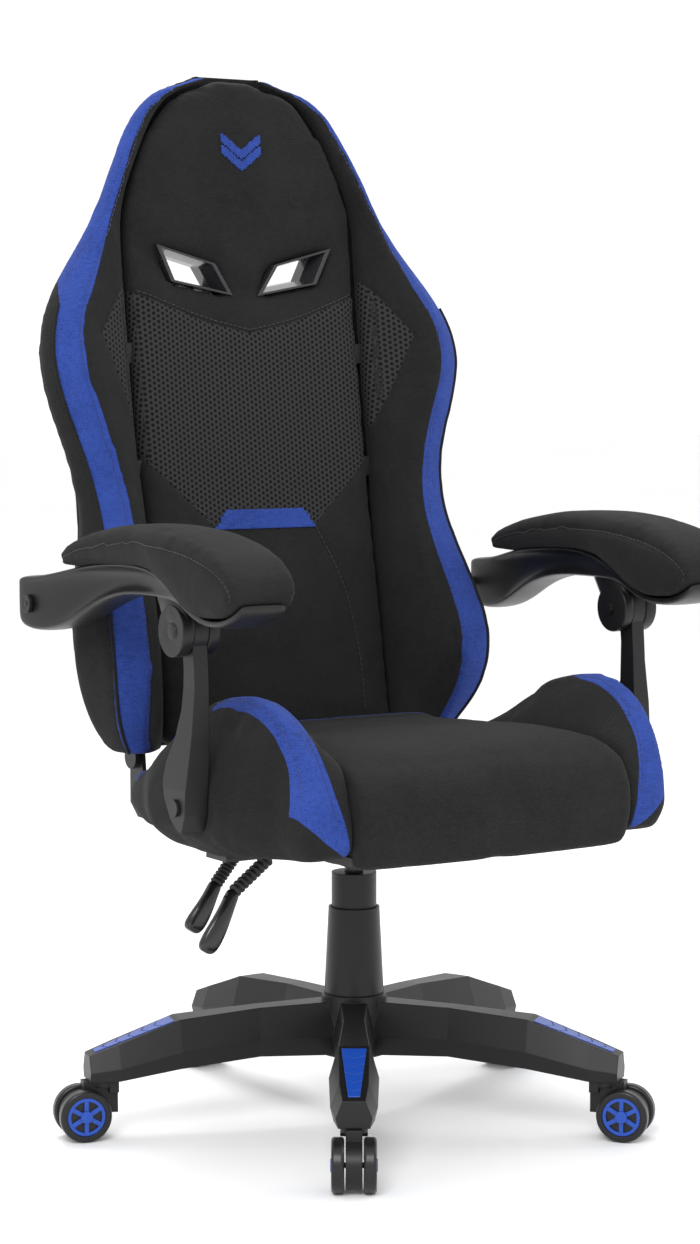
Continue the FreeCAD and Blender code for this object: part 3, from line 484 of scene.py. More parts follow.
@dataclass(frozen=True)
class RibbedRubber:
    """Matt rubber with a dusty bloom."""
    name: str
    colour: Colour

    def build(self) -> bpy.types.Material:
        """Writes the shader.

        Returns:
            The material.
        """
        bench = Bench(self.name)
        place = bench.place()
        bloom = bench.noise(place, 45.0, 4.0, 0.6)
        fine = bench.noise(place, 1800.0, 2.0)
        pale = toned(self.colour, 1.9, 0.005)
        return bench.set(Base_Color=bench.mixed(bloom.above(0.5, 0.6), self.colour, pale),
                         Roughness=bloom * 0.2 + 0.5, Normal=bench.bump(fine, 0.0001, 0.6))


@dataclass(frozen=True)
class Plywood:
    """Bent plywood stained black, with long grain and pores."""
    name: str

    def build(self) -> bpy.types.Material:
        """Writes the shader.

        Returns:
            The material.
        """
        bench = Bench(self.name)
        place = bench.place()
        drift = bench.noise(place, 6.0, 2.0)
        x, _, _ = bench.split(place)
        rings = ((x * 260.0) + drift * 14.0).sine() * 0.5 + 0.5
        pores = bench.noise(bench.stretched(place, (1.0, 0.05, 1.0)), 900.0, 2.0)
        tone = (rings * 0.6 + pores * 0.4).clamped()
        return bench.set(Base_Color=bench.mixed(tone, (0.010, 0.009, 0.008, 1), (0.024, 0.021, 0.018, 1)),
                         Roughness=pores * 0.2 + 0.5, Normal=bench.bump(tone, 0.0002, 0.5))


@dataclass(frozen=True)
class StudioFloor:
    """Pale matt floor paint."""
    name: str = "studio_floor"

    def build(self) -> bpy.types.Material:
        """Writes the shader.

        Returns:
            The material.
        """
        bench = Bench(self.name)
        cloud = bench.noise(bench.place(), 0.6, 2.0)
        return bench.set(Base_Color=bench.mixed(cloud, (0.90, 0.90, 0.905, 1), (0.94, 0.94, 0.945, 1)),
                         Roughness=cloud * 0.1 + 0.6, Specular_IOR_Level=0.15)


class Wardrobe:
    """Every finish of the chair, built once."""

    def __init__(self) -> None:
        """Builds the materials."""
        self.cloth = Upholstery("chair_cloth").build()
        self.centre_cloth = Upholstery("back_centre_cloth", NetZone.CENTRE).build()
        self.side_cloth = Upholstery("back_side_cloth", NetZone.SIDE).build()
        self.black_thread = Thread("black_thread", (0.012, 0.012, 0.013, 1)).build()
        self.blue_thread = Thread("blue_thread", (0.010, 0.022, 0.130, 1)).build()
        self.black_plastic = MouldedPlastic(
            "satin_black_nylon", (0.0060, 0.0060, 0.0064, 1), 0.40).build()
        self.blue_plastic = MouldedPlastic(
            "blue_nylon", (0.008, 0.052, 0.320, 1), 0.30, 0.00003, 0.25).build()
        self.bezel_plastic = MouldedPlastic(
            "gloss_bezel", (0.016, 0.016, 0.018, 1), 0.24, 0.00002, 0.4).build()
        self.wheel_plastic = MouldedPlastic(
            "wheel_nylon", (0.007, 0.007, 0.008, 1), 0.34, 0.00003, 0.1).build()
        self.grip_plastic = MouldedPlastic(
            "gloss_grip", (0.008, 0.008, 0.0085, 1), 0.24, 0.00002, 0.35).build()
        self.black_steel = WorkedMetal("painted_steel", (0.012, 0.012, 0.013, 1), 0.2, 0.45).build()
        self.dark_steel = WorkedMetal("blackened_rod", (0.045, 0.045, 0.048, 1), 0.8, 0.26).build()
        self.rubber = RibbedRubber("lever_boot_rubber", (0.008, 0.008, 0.008, 1)).build()
        self.wood = Plywood("seat_board_ply").build()


# ---- Workshop: moves used by every sub-assembly -------------------------------------------------

class Workshop:
    """Hand operations on pieces: copying, welding, skinning, puffing, grooving and stitching."""

    draw_in = 0.0008
    calm_rounds = 10
    stuffing_steps = 20
    border_rounds = 6
    line_rounds = 8

    def only(self, piece: bpy.types.Object) -> None:
        """Selects one piece and nothing else.

        Args:
            piece: the piece.
        """
        if bpy.context.object is not None and bpy.context.object.mode != "OBJECT":
            bpy.ops.object.mode_set(mode="OBJECT")
        bpy.ops.object.select_all(action="DESELECT")
        piece.select_set(True)
        bpy.context.view_layer.objects.active = piece

    def apply(self, piece: bpy.types.Object, modifier: bpy.types.Modifier) -> None:
        """Makes a modifier part of a piece's mesh."""
        self.only(piece)
        bpy.ops.object.modifier_apply(modifier=modifier.name)

    def weld(self, piece: bpy.types.Object, reach: float = 0.00002) -> None:
        """Merges doubled points and turns every face outwards.

        Args:
            piece: the piece.
            reach: how far apart doubled points may be, in metres.
        """
        self.only(piece)
        bpy.ops.object.mode_set(mode="EDIT")
        bpy.ops.mesh.select_all(action="SELECT")
        bpy.ops.mesh.remove_doubles(threshold=reach)
        bpy.ops.mesh.normals_make_consistent(inside=False)
        bpy.ops.object.mode_set(mode="OBJECT")

    def copied(self, node: str, name: str) -> bpy.types.Object:
        """A welded copy of a frame node's mesh as a new piece.

        Args:
            node: the node's name.
            name: the new piece's name.

        Returns:
            The copy.
        """
        piece = bpy.data.objects.new(name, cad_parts[node].data.copy())
        bpy.context.scene.collection.objects.link(piece)
        self.weld(piece)
        return piece

    def part_of(self, node: str, name: str, keep: Callable[[Vector], bool]) -> bpy.types.Object:
        """One loose part of a node that is made of several.

        Args:
            node: the node's name.
            name: the new piece's name.
            keep: says whether a loose part stays, from its middle.

        Returns:
            A piece with only the wanted parts.
        """
        piece = self.copied(node, name)
        self.only(piece)
        bpy.ops.object.mode_set(mode="EDIT")
        bpy.ops.mesh.select_all(action="SELECT")
        bpy.ops.mesh.separate(type="LOOSE")
        bpy.ops.object.mode_set(mode="OBJECT")
        kept = []
        for part in list(bpy.context.selected_objects):
            corners = [Vector(corner) for corner in part.bound_box]
            if keep((corners[0] + corners[6]) / 2):
                kept.append(part)
            else:
                bpy.data.objects.remove(part)
        joined = self.joined(kept)
        joined.name = name
        return joined

    def joined(self, parts: Sequence[bpy.types.Object]) -> bpy.types.Object:
        """Several pieces as one.

        Args:
            parts: the pieces.

        Returns:
            The first piece, which now holds them all.
        """
        self.only(parts[0])
        for part in parts[1:]:
            part.select_set(True)
        if len(parts) > 1:
            bpy.ops.object.join()
        return parts[0]

    def skin(self, piece: bpy.types.Object, voxel: float, rounds: int = 4) -> None:
        """Gives a piece an even closed mesh and rounds its steps off.

        Args:
            piece: the piece.
            voxel: the size of the mesh, in metres.
            rounds: how many smoothing passes follow.
        """
        cover = piece.modifiers.new("Cover", "REMESH")
        cover.mode = "VOXEL"
        cover.voxel_size = voxel
        cover.use_smooth_shade = True
        self.apply(piece, cover)
        ease = piece.modifiers.new("Ease", "SMOOTH")
        ease.factor = 0.5
        ease.iterations = rounds
        self.apply(piece, ease)

    def points(self, piece: bpy.types.Object) -> np.ndarray:
        """The places of a piece's points.

        Args:
            piece: the piece.

        Returns:
            A row of three numbers for each point.
        """
        flat = np.empty(len(piece.data.vertices) * 3)
        piece.data.vertices.foreach_get("co", flat)
        return flat.reshape(-1, 3)

    def normals(self, piece: bpy.types.Object) -> np.ndarray:
        """The outward directions at a piece's points.

        Args:
            piece: the piece.

        Returns:
            A row of three numbers for each point.
        """
        flat = np.empty(len(piece.data.vertices) * 3)
        piece.data.vertices.foreach_get("normal", flat)
        return flat.reshape(-1, 3)

    def move_points(self, piece: bpy.types.Object, places: np.ndarray) -> None:
        """Puts a piece's points at new places."""
        piece.data.vertices.foreach_set("co", places.astype(np.float32).ravel())
        piece.data.update()

    def puff(self, piece: bpy.types.Object, pressure: float, limit: float) -> None:
        """Blows a piece up as stuffed cloth and keeps each point within a limit.

        Args:
            piece: the skinned piece.
            pressure: the pressure inside.
            limit: how far a point may move, in metres.
        """
        before = self.points(piece)
        cloth = piece.modifiers.new("Stuffing", "CLOTH")
        cloth.settings.use_pressure = True
        cloth.settings.uniform_pressure_force = pressure
        cloth.settings.effector_weights.gravity = 0.0
        cloth.settings.quality = 4
        cloth.point_cache.frame_start = 1
        cloth.point_cache.frame_end = self.stuffing_steps
        for step in range(1, self.stuffing_steps + 1):
            bpy.context.scene.frame_set(step)
        self.apply(piece, cloth)
        bpy.context.scene.frame_set(1)
        shift = self.points(piece) - before
        outward = self.normals(piece)
        inward = np.minimum((shift * outward).sum(axis=1, keepdims=True) + self.draw_in, 0.0)
        shift -= outward * inward
        length = np.linalg.norm(shift, axis=1, keepdims=True) + 1e-9
        self.move_points(piece, before + shift / length * limit * np.tanh(length / limit))
        calm = piece.modifiers.new("Calm", "SMOOTH")
        calm.factor = 0.5
        calm.iterations = self.calm_rounds
        self.apply(piece, calm)

    def finer(self, piece: bpy.types.Object) -> None:
        """Adds one subdivision and smooth shading.

        Args:
            piece: the piece.
        """
        finer = piece.modifiers.new("Finer", "SUBSURF")
        finer.levels = 1
        finer.render_levels = 1
        self.apply(piece, finer)
        self.only(piece)
        bpy.ops.object.shade_smooth()

    def mark_trim(self, piece: bpy.types.Object, plain: BVHTree, trim: BVHTree, spread: float = 0.024,
                  more: Callable[[np.ndarray, np.ndarray], np.ndarray] | None = None) -> None:
        """Writes how far each point is on the trim's side of the border between two cloths.

        Args:
            piece: the piece.
            plain: the surface of the main cloth.
            trim: the surface of the trim.
            spread: the distance over which the value runs from 0 to 1, in metres.
            more: corrects the distances, from the points' places and the distances found.
        """
        values = np.empty(len(piece.data.vertices), dtype=np.float32)
        for place, vertex in enumerate(piece.data.vertices):
            to_plain = plain.find_nearest(vertex.co)[3]
            to_trim = trim.find_nearest(vertex.co)[3]
            values[place] = to_plain - to_trim
        edges = np.empty(len(piece.data.edges) * 2, dtype=np.int32)
        piece.data.edges.foreach_get("vertices", edges)
        first, last = edges.reshape(-1, 2).T
        count = np.bincount(first, minlength=len(values)) + np.bincount(last, minlength=len(values))
        for _ in range(self.border_rounds):
            total = np.bincount(first, values[last], len(values))
            total = total + np.bincount(last, values[first], len(values))
            values = (values + total / np.maximum(count, 1)) / 2
        if more is not None:
            values = more(self.points(piece), values)
        values = (0.5 + values / spread).astype(np.float32)
        layer = piece.data.attributes.new("trim", "FLOAT", "POINT")
        layer.data.foreach_set("value", values)

    def tree(self, piece: bpy.types.Object) -> BVHTree:
        """A search tree over a piece's faces."""
        return BVHTree.FromPolygons([vertex.co[:] for vertex in piece.data.vertices],
                                    [face.vertices[:] for face in piece.data.polygons])

    def groove(self, piece: bpy.types.Object, path: Sequence[Vector], width: float, depth: float) -> None:
        """Presses a seam into a piece.

        Args:
            piece: the piece.
            path: points along the seam, close together.
            width: how wide the groove is, in metres.
            depth: how deep it is, in metres.
        """
        places = self.points(piece)
        line = np.array([point[:] for point in path])
        reach = np.full(len(places), np.inf)
        for start in range(0, len(line), 40):
            part = line[start:start + 40]
            near = np.linalg.norm(places[:, None, :] - part[None, :, :], axis=2).min(axis=1)
            reach = np.minimum(reach, near)
        fall = np.exp(-(reach / width) ** 2)[:, None]
        self.move_points(piece, places - self.normals(piece) * fall * depth)

    def laid(self, piece: bpy.types.Object, guide: Sequence[Point], step: float,
             aim: Vector | None = None) -> list[tuple[Vector, Vector]]:
        """A guide line laid on a piece's surface.

        Args:
            piece: the piece.
            guide: the corners of the line.
            step: the distance between the points that come back.
            aim: the direction to look along, or None for the nearest surface.

        Returns:
            Each point with the surface's direction there.
        """
        tree = self.tree(piece)
        corners = [Vector(point) for point in guide]
        found = []
        for first, last in zip(corners, corners[1:]):
            count = max(1, round((last - first).length / step))
            for turn in range(count):
                point = first.lerp(last, turn / count)
                hit = tree.ray_cast(point - aim * 0.4, aim) if aim is not None else tree.find_nearest(point)
                if hit[0] is not None:
                    found.append(hit[0])
        for _ in range(self.line_rounds):
            middle = [(a + b + b + c) / 4 for a, b, c in zip(found, found[1:], found[2:])]
            found = found[:1] + middle + found[-1:]
        return [tree.find_nearest(point)[:2] for point in found]

    def pressed(self, piece: bpy.types.Object, guide: Sequence[Point], width: float, depth: float,
                step: float = SEAM_STEP, aim: Vector | None = None) -> None:
        """Lays a seam's guide line on a piece and presses it in.

        Args:
            piece: the piece.
            guide: the corners of the line.
            width: how wide the groove is, in metres.
            depth: how deep it is, in metres.
            step: the distance between the points of the line.
            aim: the direction to look along, or None for the nearest surface.
        """
        line = self.laid(piece, guide, step, aim)
        self.groove(piece, [point for point, _ in line], width, depth)

    def threaded(self, name: str, rows: Iterable[Sequence[Vector]], radius: float, roundness: int, body: str,
                 finish: bpy.types.Material) -> bpy.types.Object:
        """Round thread or piping drawn along rows of points.

        Args:
            name: the new piece's name.
            rows: the points of each length.
            radius: its radius, in metres.
            roundness: how finely it is rounded.
            body: the body it rides on.
            finish: its material.

        Returns:
            Every length as one mesh.
        """
        curve = bpy.data.curves.new(name, "CURVE")
        curve.dimensions = "3D"
        curve.bevel_depth = radius
        curve.bevel_resolution = roundness
        curve.use_fill_caps = True
        for row in rows:
            spline = curve.splines.new("POLY")
            spline.points.add(len(row) - 1)
            for place, point in enumerate(row):
                spline.points[place].co = (*point, 1.0)
        piece = bpy.data.objects.new(name, curve)
        bpy.context.scene.collection.objects.link(piece)
        self.only(piece)
        bpy.ops.object.convert(target="MESH")
        piece = bpy.context.object
        bpy.ops.object.shade_smooth()
        self.dress(piece, finish)
        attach(piece, body)
        return piece

    def stitched(self, name: str, runs: Iterable[Sequence[tuple[Vector, Vector]]], body: str,
                 thread: bpy.types.Material, gap: int = 3) -> bpy.types.Object:
        """Rows of single stitches on a surface.

        Args:
            name: the new piece's name.
            runs: laid lines, each with a point every stitch length over gap.
            body: the body the row rides on.
            thread: the thread's material.
            gap: how many laid points one stitch and its gap take.

        Returns:
            The stitches as one mesh.
        """
        rows = []
        for run in runs:
            for start in range(0, len(run) - gap, gap):
                row = run[start:start + gap]
                lifts = [0.1] + [0.9] * (len(row) - 2) + [0.1]
                rows.append([point + normal * THREAD_RADIUS * lift
                             for (point, normal), lift in zip(row, lifts)])
        return self.threaded(name, rows, THREAD_RADIUS, 0, body, thread)

    def corded(self, name: str, runs: Iterable[Sequence[tuple[Vector, Vector]]], radius: float, proud: float,
               body: str, finish: bpy.types.Material) -> bpy.types.Object:
        """Piping laid along seams.

        Args:
            name: the new piece's name.
            runs: laid lines.
            radius: the piping's radius, in metres.
            proud: how far its middle stands off the surface, in metres.
            body: the body it rides on.
            finish: its material.

        Returns:
            The piping as one mesh.
        """
        rows = [[point + normal * proud for point, normal in run] for run in runs]
        return self.threaded(name, rows, radius, 2, body, finish)

    def lofted(self, name: str, rings: Sequence[Sequence[Point]], smoothing: int = 2) -> bpy.types.Object:
        """A closed skin drawn from ring to ring by extruding its end face.

        Args:
            name: the new piece's name.
            rings: rings with the same number of points.
            smoothing: levels of subdivision.

        Returns:
            The piece.
        """
        bpy.ops.object.select_all(action="DESELECT")
        bpy.ops.mesh.primitive_circle_add(vertices=len(rings[0]), radius=1.0, fill_type="NGON")
        piece = bpy.context.object
        piece.name = name
        bpy.ops.object.mode_set(mode="EDIT")
        mesh = bmesh.from_edit_mesh(piece.data)
        mesh.verts.ensure_lookup_table()
        front = list(mesh.verts)
        for vertex, place in zip(front, rings[0]):
            vertex.co = place
        for ring in rings[1:]:
            spots = [vertex.co.copy() for vertex in front]
            bpy.ops.mesh.select_all(action="DESELECT")
            mesh = bmesh.from_edit_mesh(piece.data)
            middle = sum(spots, Vector()) / len(spots)
            ends = [face for face in mesh.faces if len(face.verts) == len(ring)]
            end = min(ends, key=lambda face: (face.calc_center_median() - middle).length)
            end.select = True
            bpy.ops.mesh.extrude_region()
            mesh = bmesh.from_edit_mesh(piece.data)
            moved = [vertex for vertex in mesh.verts if vertex.select]
            front = [min(moved, key=lambda vertex: (vertex.co - spot).length) for spot in spots]
            for vertex, place in zip(front, ring):
                vertex.co = place
            mesh.faces.index_update()
        bpy.ops.mesh.select_all(action="SELECT")
        bpy.ops.mesh.normals_make_consistent(inside=False)
        bpy.ops.object.mode_set(mode="OBJECT")
        round_off = piece.modifiers.new("Round", "SUBSURF")
        round_off.levels = smoothing
        round_off.render_levels = smoothing
        self.apply(piece, round_off)
        self.only(piece)
        bpy.ops.object.shade_smooth()
        return piece

    def disc(self, name: str, middle: Point, radius: float, half: float, dish: float) -> bpy.types.Object:
        """A round boss along X with rolled edges, a dished outer face and a bolt head in the dish.

        Args:
            name: the new piece's name.
            middle: its middle.
            radius: its radius.
            half: half its length.
            dish: the depth of the dish, or 0 for none.

        Returns:
            The boss.
        """
        bpy.ops.object.select_all(action="DESELECT")
        bpy.ops.mesh.primitive_cylinder_add(vertices=64, radius=radius, depth=2 * half, location=middle,
                                            rotation=(0.0, math.pi / 2, 0.0))
        boss = bpy.context.object
        boss.name = name
        bpy.ops.object.transform_apply(location=True, rotation=True, scale=True)
        if dish > 0:
            bpy.ops.object.mode_set(mode="EDIT")
            bpy.ops.mesh.select_all(action="DESELECT")
            mesh = bmesh.from_edit_mesh(boss.data)
            for face in mesh.faces:
                face.select = face.normal.x * middle[0] > 0 and len(face.verts) > 4
            bmesh.update_edit_mesh(boss.data)
            way = math.copysign(1.0, middle[0])
            for inset, push in ((radius * 0.62, -dish), (radius * 0.06, 0.0), (radius * 0.02, dish * 0.8)):
                bpy.ops.mesh.inset(thickness=inset, depth=0.0)
                bpy.ops.transform.translate(value=(way * push, 0.0, 0.0))
            bpy.ops.object.mode_set(mode="OBJECT")
        edge = boss.modifiers.new("Rolled_edge", "BEVEL")
        edge.width = min(0.0016, half * 0.4)
        edge.segments = 3
        edge.limit_method = "ANGLE"
        edge.angle_limit = math.radians(40)
        self.apply(boss, edge)
        self.only(boss)
        bpy.ops.object.shade_smooth_by_angle(angle=math.radians(45))
        return boss

    def other_side(self, piece: bpy.types.Object, name: str) -> bpy.types.Object:
        """The mirror image of a piece on the chair's other side.

        Args:
            piece: the piece.
            name: the new piece's name.

        Returns:
            The mirrored copy.
        """
        twin = bpy.data.objects.new(name, piece.data.copy())
        bpy.context.scene.collection.objects.link(twin)
        self.only(twin)
        bpy.ops.object.mode_set(mode="EDIT")
        bpy.ops.mesh.select_all(action="SELECT")
        bpy.ops.transform.resize(value=(-1.0, 1.0, 1.0), center_override=(0.0, 0.0, 0.0))
        bpy.ops.mesh.flip_normals()
        bpy.ops.object.mode_set(mode="OBJECT")
        return twin

    def dress(self, piece: bpy.types.Object, finish: bpy.types.Material) -> None:
        """Gives a piece one finish."""
        piece.data.materials.clear()
        piece.data.materials.append(finish)

    def dress_nodes(self, finish: bpy.types.Material, *names: str) -> None:
        """Gives frame nodes one finish.

        Args:
            finish: the material.
            names: the nodes.
        """
        for name in names:
            self.dress(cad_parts[name], finish)


shop = Workshop()


def mirrored(runs: Iterable[Sequence[Point]]) -> list[list[Point]]:
    """Lines mirrored across the middle plane."""
    return [[(-x, y, z) for x, y, z in run] for run in runs]


def both(runs: Iterable[Sequence[Point]]) -> list[list[Point]]:
    """Lines on the left side together with their mirror images."""
    kept = [list(run) for run in runs]
    return kept + mirrored(kept)


def rounded(run: Sequence[Point], passes: int = 2) -> list[Point]:
    """A line with its corners cut off, for a seam that curves.

    Args:
        run: the line's corners.
        passes: how many times the corners are cut.

    Returns:
        The smoother line, with the same ends.
    """
    line = [Vector(point) for point in run]
    for _ in range(passes):
        cut = [line[0]]
        for first, last in zip(line, line[1:]):
            cut += [first.lerp(last, 0.25), first.lerp(last, 0.75)]
        line = cut + [line[-1]]
    return [tuple(point) for point in line]


# ---- Base, casters and gas lift -----------------------------------------------------------------

@dataclass
class Undercarriage:
    """Five-legged base, casters, gas lift and mechanism: frame nodes in their finishes."""
    wardrobe: Wardrobe
    caster_count: int = 5

    def build(self) -> None:
        """Dresses the nodes."""
        dress = shop.dress_nodes
        dress(self.wardrobe.black_plastic, "base_star", "lower_cover", "upper_cover")
        dress(self.wardrobe.blue_plastic, "leg_inlays")
        dress(self.wardrobe.black_steel, "lift_tube", "caster_stems", "swivel_plate", "side_fittings")
        dress(self.wardrobe.dark_steel, "lift_rod")
        dress(self.wardrobe.wood, "seat_board")
        for number in range(1, self.caster_count + 1):
            dress(self.wardrobe.black_plastic, f"caster_{number}_fork")
            for side in "ab":
                dress(self.wardrobe.wheel_plastic, f"caster_{number}_wheel_{side}")
                dress(self.wardrobe.blue_plastic, f"caster_{number}_hub_cap_{side}")
        log.info("undercarriage: base, %d casters, lift and plate dressed", self.caster_count)


# ---- Levers -------------------------------------------------------------------------------------

@dataclass
class Lever:
    """One lever: its name, where its boot ends and where its grip ends."""
    name: str
    wrist: Point
    tip: Point


@dataclass
class Levers:
    """Height lever and recline release in steel, rubber and gloss plastic."""
    wardrobe: Wardrobe
    levers: tuple[Lever, ...] = (
        Lever("height_lever", (-0.172, 0.026, 0.290), (-0.206, 0.020, 0.240)),
        Lever("recline_lever", (-0.182, -0.032, 0.290), (-0.222, -0.042, 0.228)))
    profile: tuple[tuple[float, float, float, float], ...] = (
        (-0.02, 0.0060, 0.0055, 0.0), (0.02, 0.0080, 0.0070, 0.0), (0.18, 0.0085, 0.0072, 0.0005),
        (0.38, 0.0100, 0.0068, 0.0015), (0.60, 0.0122, 0.0064, 0.0010), (0.80, 0.0132, 0.0070, -0.0010),
        (0.94, 0.0120, 0.0072, -0.0030), (1.00, 0.0090, 0.0058, -0.0040), (1.02, 0.0050, 0.0034, -0.0044))
    sides: int = 14

    def grip(self, lever: Lever) -> bpy.types.Object:
        """A thumb-shaped grip that swells and turns over at its end.

        Args:
            lever: the lever it is for.

        Returns:
            The grip.
        """
        root, tip = Vector(lever.wrist), Vector(lever.tip)
        along = (tip - root).normalized()
        face = Vector((0.0, -1.0, 0.0))
        across = along.cross(face).normalized()
        face = across.cross(along).normalized()
        rings = []
        for share, half_width, half_thick, lift in self.profile:
            middle = root + (tip - root) * share + face * lift
            ring = []
            for turn in range(self.sides):
                angle = 2 * math.pi * turn / self.sides
                flat = math.copysign(abs(math.sin(angle)) ** 0.7, math.sin(angle))
                wide = math.copysign(abs(math.cos(angle)) ** 0.8, math.cos(angle))
                ring.append(tuple(middle + across * half_width * wide + face * half_thick * flat))
            rings.append(ring)
        return shop.lofted(f"{lever.name}_thumb_grip", rings, 2)

    def build(self) -> None:
        """Builds the grips and dresses both levers."""
        for lever in self.levers:
            grip = self.grip(lever)
            shop.dress(grip, self.wardrobe.grip_plastic)
            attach(grip, lever.name)
            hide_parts(f"{lever.name}_grip")
            shop.dress_nodes(self.wardrobe.black_steel, f"{lever.name}_rod")
            shop.dress_nodes(self.wardrobe.rubber, f"{lever.name}_bellows")
        log.info("levers: %s", ", ".join(lever.name for lever in self.levers))


# ---- Arms ---------------------------------------------------------------------------------------

@dataclass
class Arms:
    """Arm beams and struts, with stuffed cloth pads sewn round their lower edge."""
    wardrobe: Wardrobe
    voxel: float = 0.0042
    pressure: float = 3.0
    limit: float = 0.007
    pad_half_width: float = 0.042
    pad_middle: float = 0.295
    ear: tuple[float, float] = (-0.1355, 0.6007)
    ear_radius: float = 0.028
    neck: tuple[Point, ...] = (
        (-0.1625, 0.606, 0.054), (-0.163, 0.618, 0.062), (-0.160, 0.634, 0.070), (-0.155, 0.642, 0.070))
    stations: tuple[tuple[float, ...], ...] = (
        (0.1975, 0.636, 0.592, 0.302, 0.334, 0.0), (0.1950, 0.640, 0.587, 0.299, 0.337, 0.0),
        (0.185, 0.643, 0.582, 0.296, 0.338, 0.0005), (0.160, 0.644, 0.579, 0.293, 0.336, 0.002),
        (0.125, 0.649, 0.583, 0.287, 0.333, 0.005), (0.085, 0.657, 0.596, 0.278, 0.328, 0.010),
        (0.040, 0.665, 0.618, 0.270, 0.323, 0.015), (-0.015, 0.669, 0.632, 0.267, 0.322, 0.017),
        (-0.065, 0.670, 0.634, 0.267, 0.322, 0.014), (-0.100, 0.666, 0.634, 0.267, 0.322, 0.006),
        (-0.135, 0.655, 0.633, 0.267, 0.322, 0.001), (-0.160, 0.643, 0.626, 0.267, 0.322, 0.0),
        (-0.186, 0.628, 0.613, 0.267, 0.322, 0.0), (-0.214, 0.6195, 0.609, 0.266, 0.323, 0.0),
        (-0.250, 0.6195, 0.610, 0.264, 0.324, 0.0), (-0.278, 0.628, 0.619, 0.264, 0.324, 0.0),
        (-0.290, 0.6365, 0.629, 0.266, 0.322, 0.0), (-0.292, 0.639, 0.633, 0.270, 0.318, 0.0))

    def pad(self) -> bpy.types.Object:
        """The left pad as a stuffed piece.

        Returns:
            The pad.
        """
        pad = shop.copied("arm_pad_left", "arm_rest_left")
        shop.skin(pad, self.voxel, 8)
        shop.puff(pad, self.pressure, self.limit)
        shop.finer(pad)
        return pad

    def section(self, y: float, top: float, low: float, inner: float, outer: float,
                hollow: float) -> list[Point]:
        """One cross-section of the arm: a lip under the pad, a hollowed web and a rounded lower edge.

        Args:
            y: where the section stands.
            top: height of its top.
            low: height of its underside.
            inner: x of its inner face.
            outer: x of its outer face.
            hollow: how deep the web is hollowed on each side.

        Returns:
            The section's points, once round.
        """
        tall = top - low
        lip, foot = min(0.005, tall * 0.3), min(0.005, tall * 0.3)
        step = min(0.004, tall * 0.15)
        middle, half = (inner + outer) / 2, (outer - inner) / 2
        web = half - hollow
        across = [(-half * 0.6, top), (half * 0.6, top), (half, top - lip * 0.3), (half, top - lip),
                  (web, top - lip - step), (web, low + foot + step), (half * 0.92, low + foot),
                  (half * 0.8, low), (-half * 0.8, low), (-half * 0.92, low + foot),
                  (-web, low + foot + step), (-web, top - lip - step), (-half, top - lip),
                  (-half, top - lip * 0.3)]
        return [(middle + x, y, z) for x, z in across]

    def shell(self) -> bpy.types.Object:
        """The left arm: swept arch, pivot ears with bolts, and the flared rear end.

        Returns:
            The arm.
        """
        arch = shop.lofted("arm_arch_left", [self.section(*station) for station in self.stations])
        ear_y, ear_z = self.ear
        parts = [arch]
        parts.append(shop.disc("outer_ear", (0.3108, ear_y, ear_z), self.ear_radius, 0.0072, 0.0022))
        parts.append(shop.disc("inner_ear", (0.2788, ear_y, ear_z), self.ear_radius, 0.0065, 0.0))
        parts.append(shop.disc("rear_bolt", (0.3385, 0.170, 0.611), 0.0105, 0.0025, 0.0012))
        for x, half in ((0.3108, 0.0068), (0.2788, 0.0062)):
            neck = [[(x - half, y, z), (x + half, y, z), (x + half, y + wide, z), (x - half, y + wide, z)]
                    for y, z, wide in self.neck]
            parts.append(shop.lofted("neck", neck, 1))
        shell = shop.joined(parts)
        shell.name = "arm_shell_left"
        return shell

    def seam_guides(self) -> list[list[Point]]:
        """The seam near the lower edge, along both long sides of the left pad.

        Returns:
            The corners of each seam.
        """
        lower = [(-0.296, 0.640), (-0.290, 0.654), (-0.266, 0.671), (-0.230, 0.682), (-0.180, 0.690),
                 (-0.110, 0.694), (-0.040, 0.692), (0.030, 0.682), (0.070, 0.672), (0.094, 0.664)]
        edge = self.pad_half_width + 0.004
        return [[(self.pad_middle + side * edge, y, z) for y, z in lower] for side in (-1, 1)]

    def build(self) -> None:
        """Builds the pads, their stitching and the arm shells, and dresses the struts."""
        shell = self.shell()
        for piece, side in ((shell, "left"), (shop.other_side(shell, "arm_shell_right"), "right")):
            shop.dress(piece, self.wardrobe.black_plastic)
            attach(piece, f"arm_{side}")
            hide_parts(f"arm_beam_{side}")
        pad = self.pad()
        seams = [rounded(guide) for guide in self.seam_guides()]
        for seam in seams:
            shop.pressed(pad, seam, 0.0032, 0.0016, STITCH_STEP)
        twin = shop.other_side(pad, "arm_rest_right")
        for piece, side in ((pad, "left"), (twin, "right")):
            shop.dress(piece, self.wardrobe.cloth)
            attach(piece, f"arm_{side}")
            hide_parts(f"arm_pad_{side}")
            own = seams if side == "left" else mirrored(seams)
            rows = [shop.laid(piece, seam, STITCH_STEP) for seam in own]
            shop.stitched(f"arm_stitches_{side}", rows, f"arm_{side}", self.wardrobe.black_thread)
            shop.dress_nodes(self.wardrobe.black_plastic, f"arm_strut_{side}")
            log.info("arm pad %s: %d faces", side, len(piece.data.polygons))


# ---- Seat ---------------------------------------------------------------------------------------

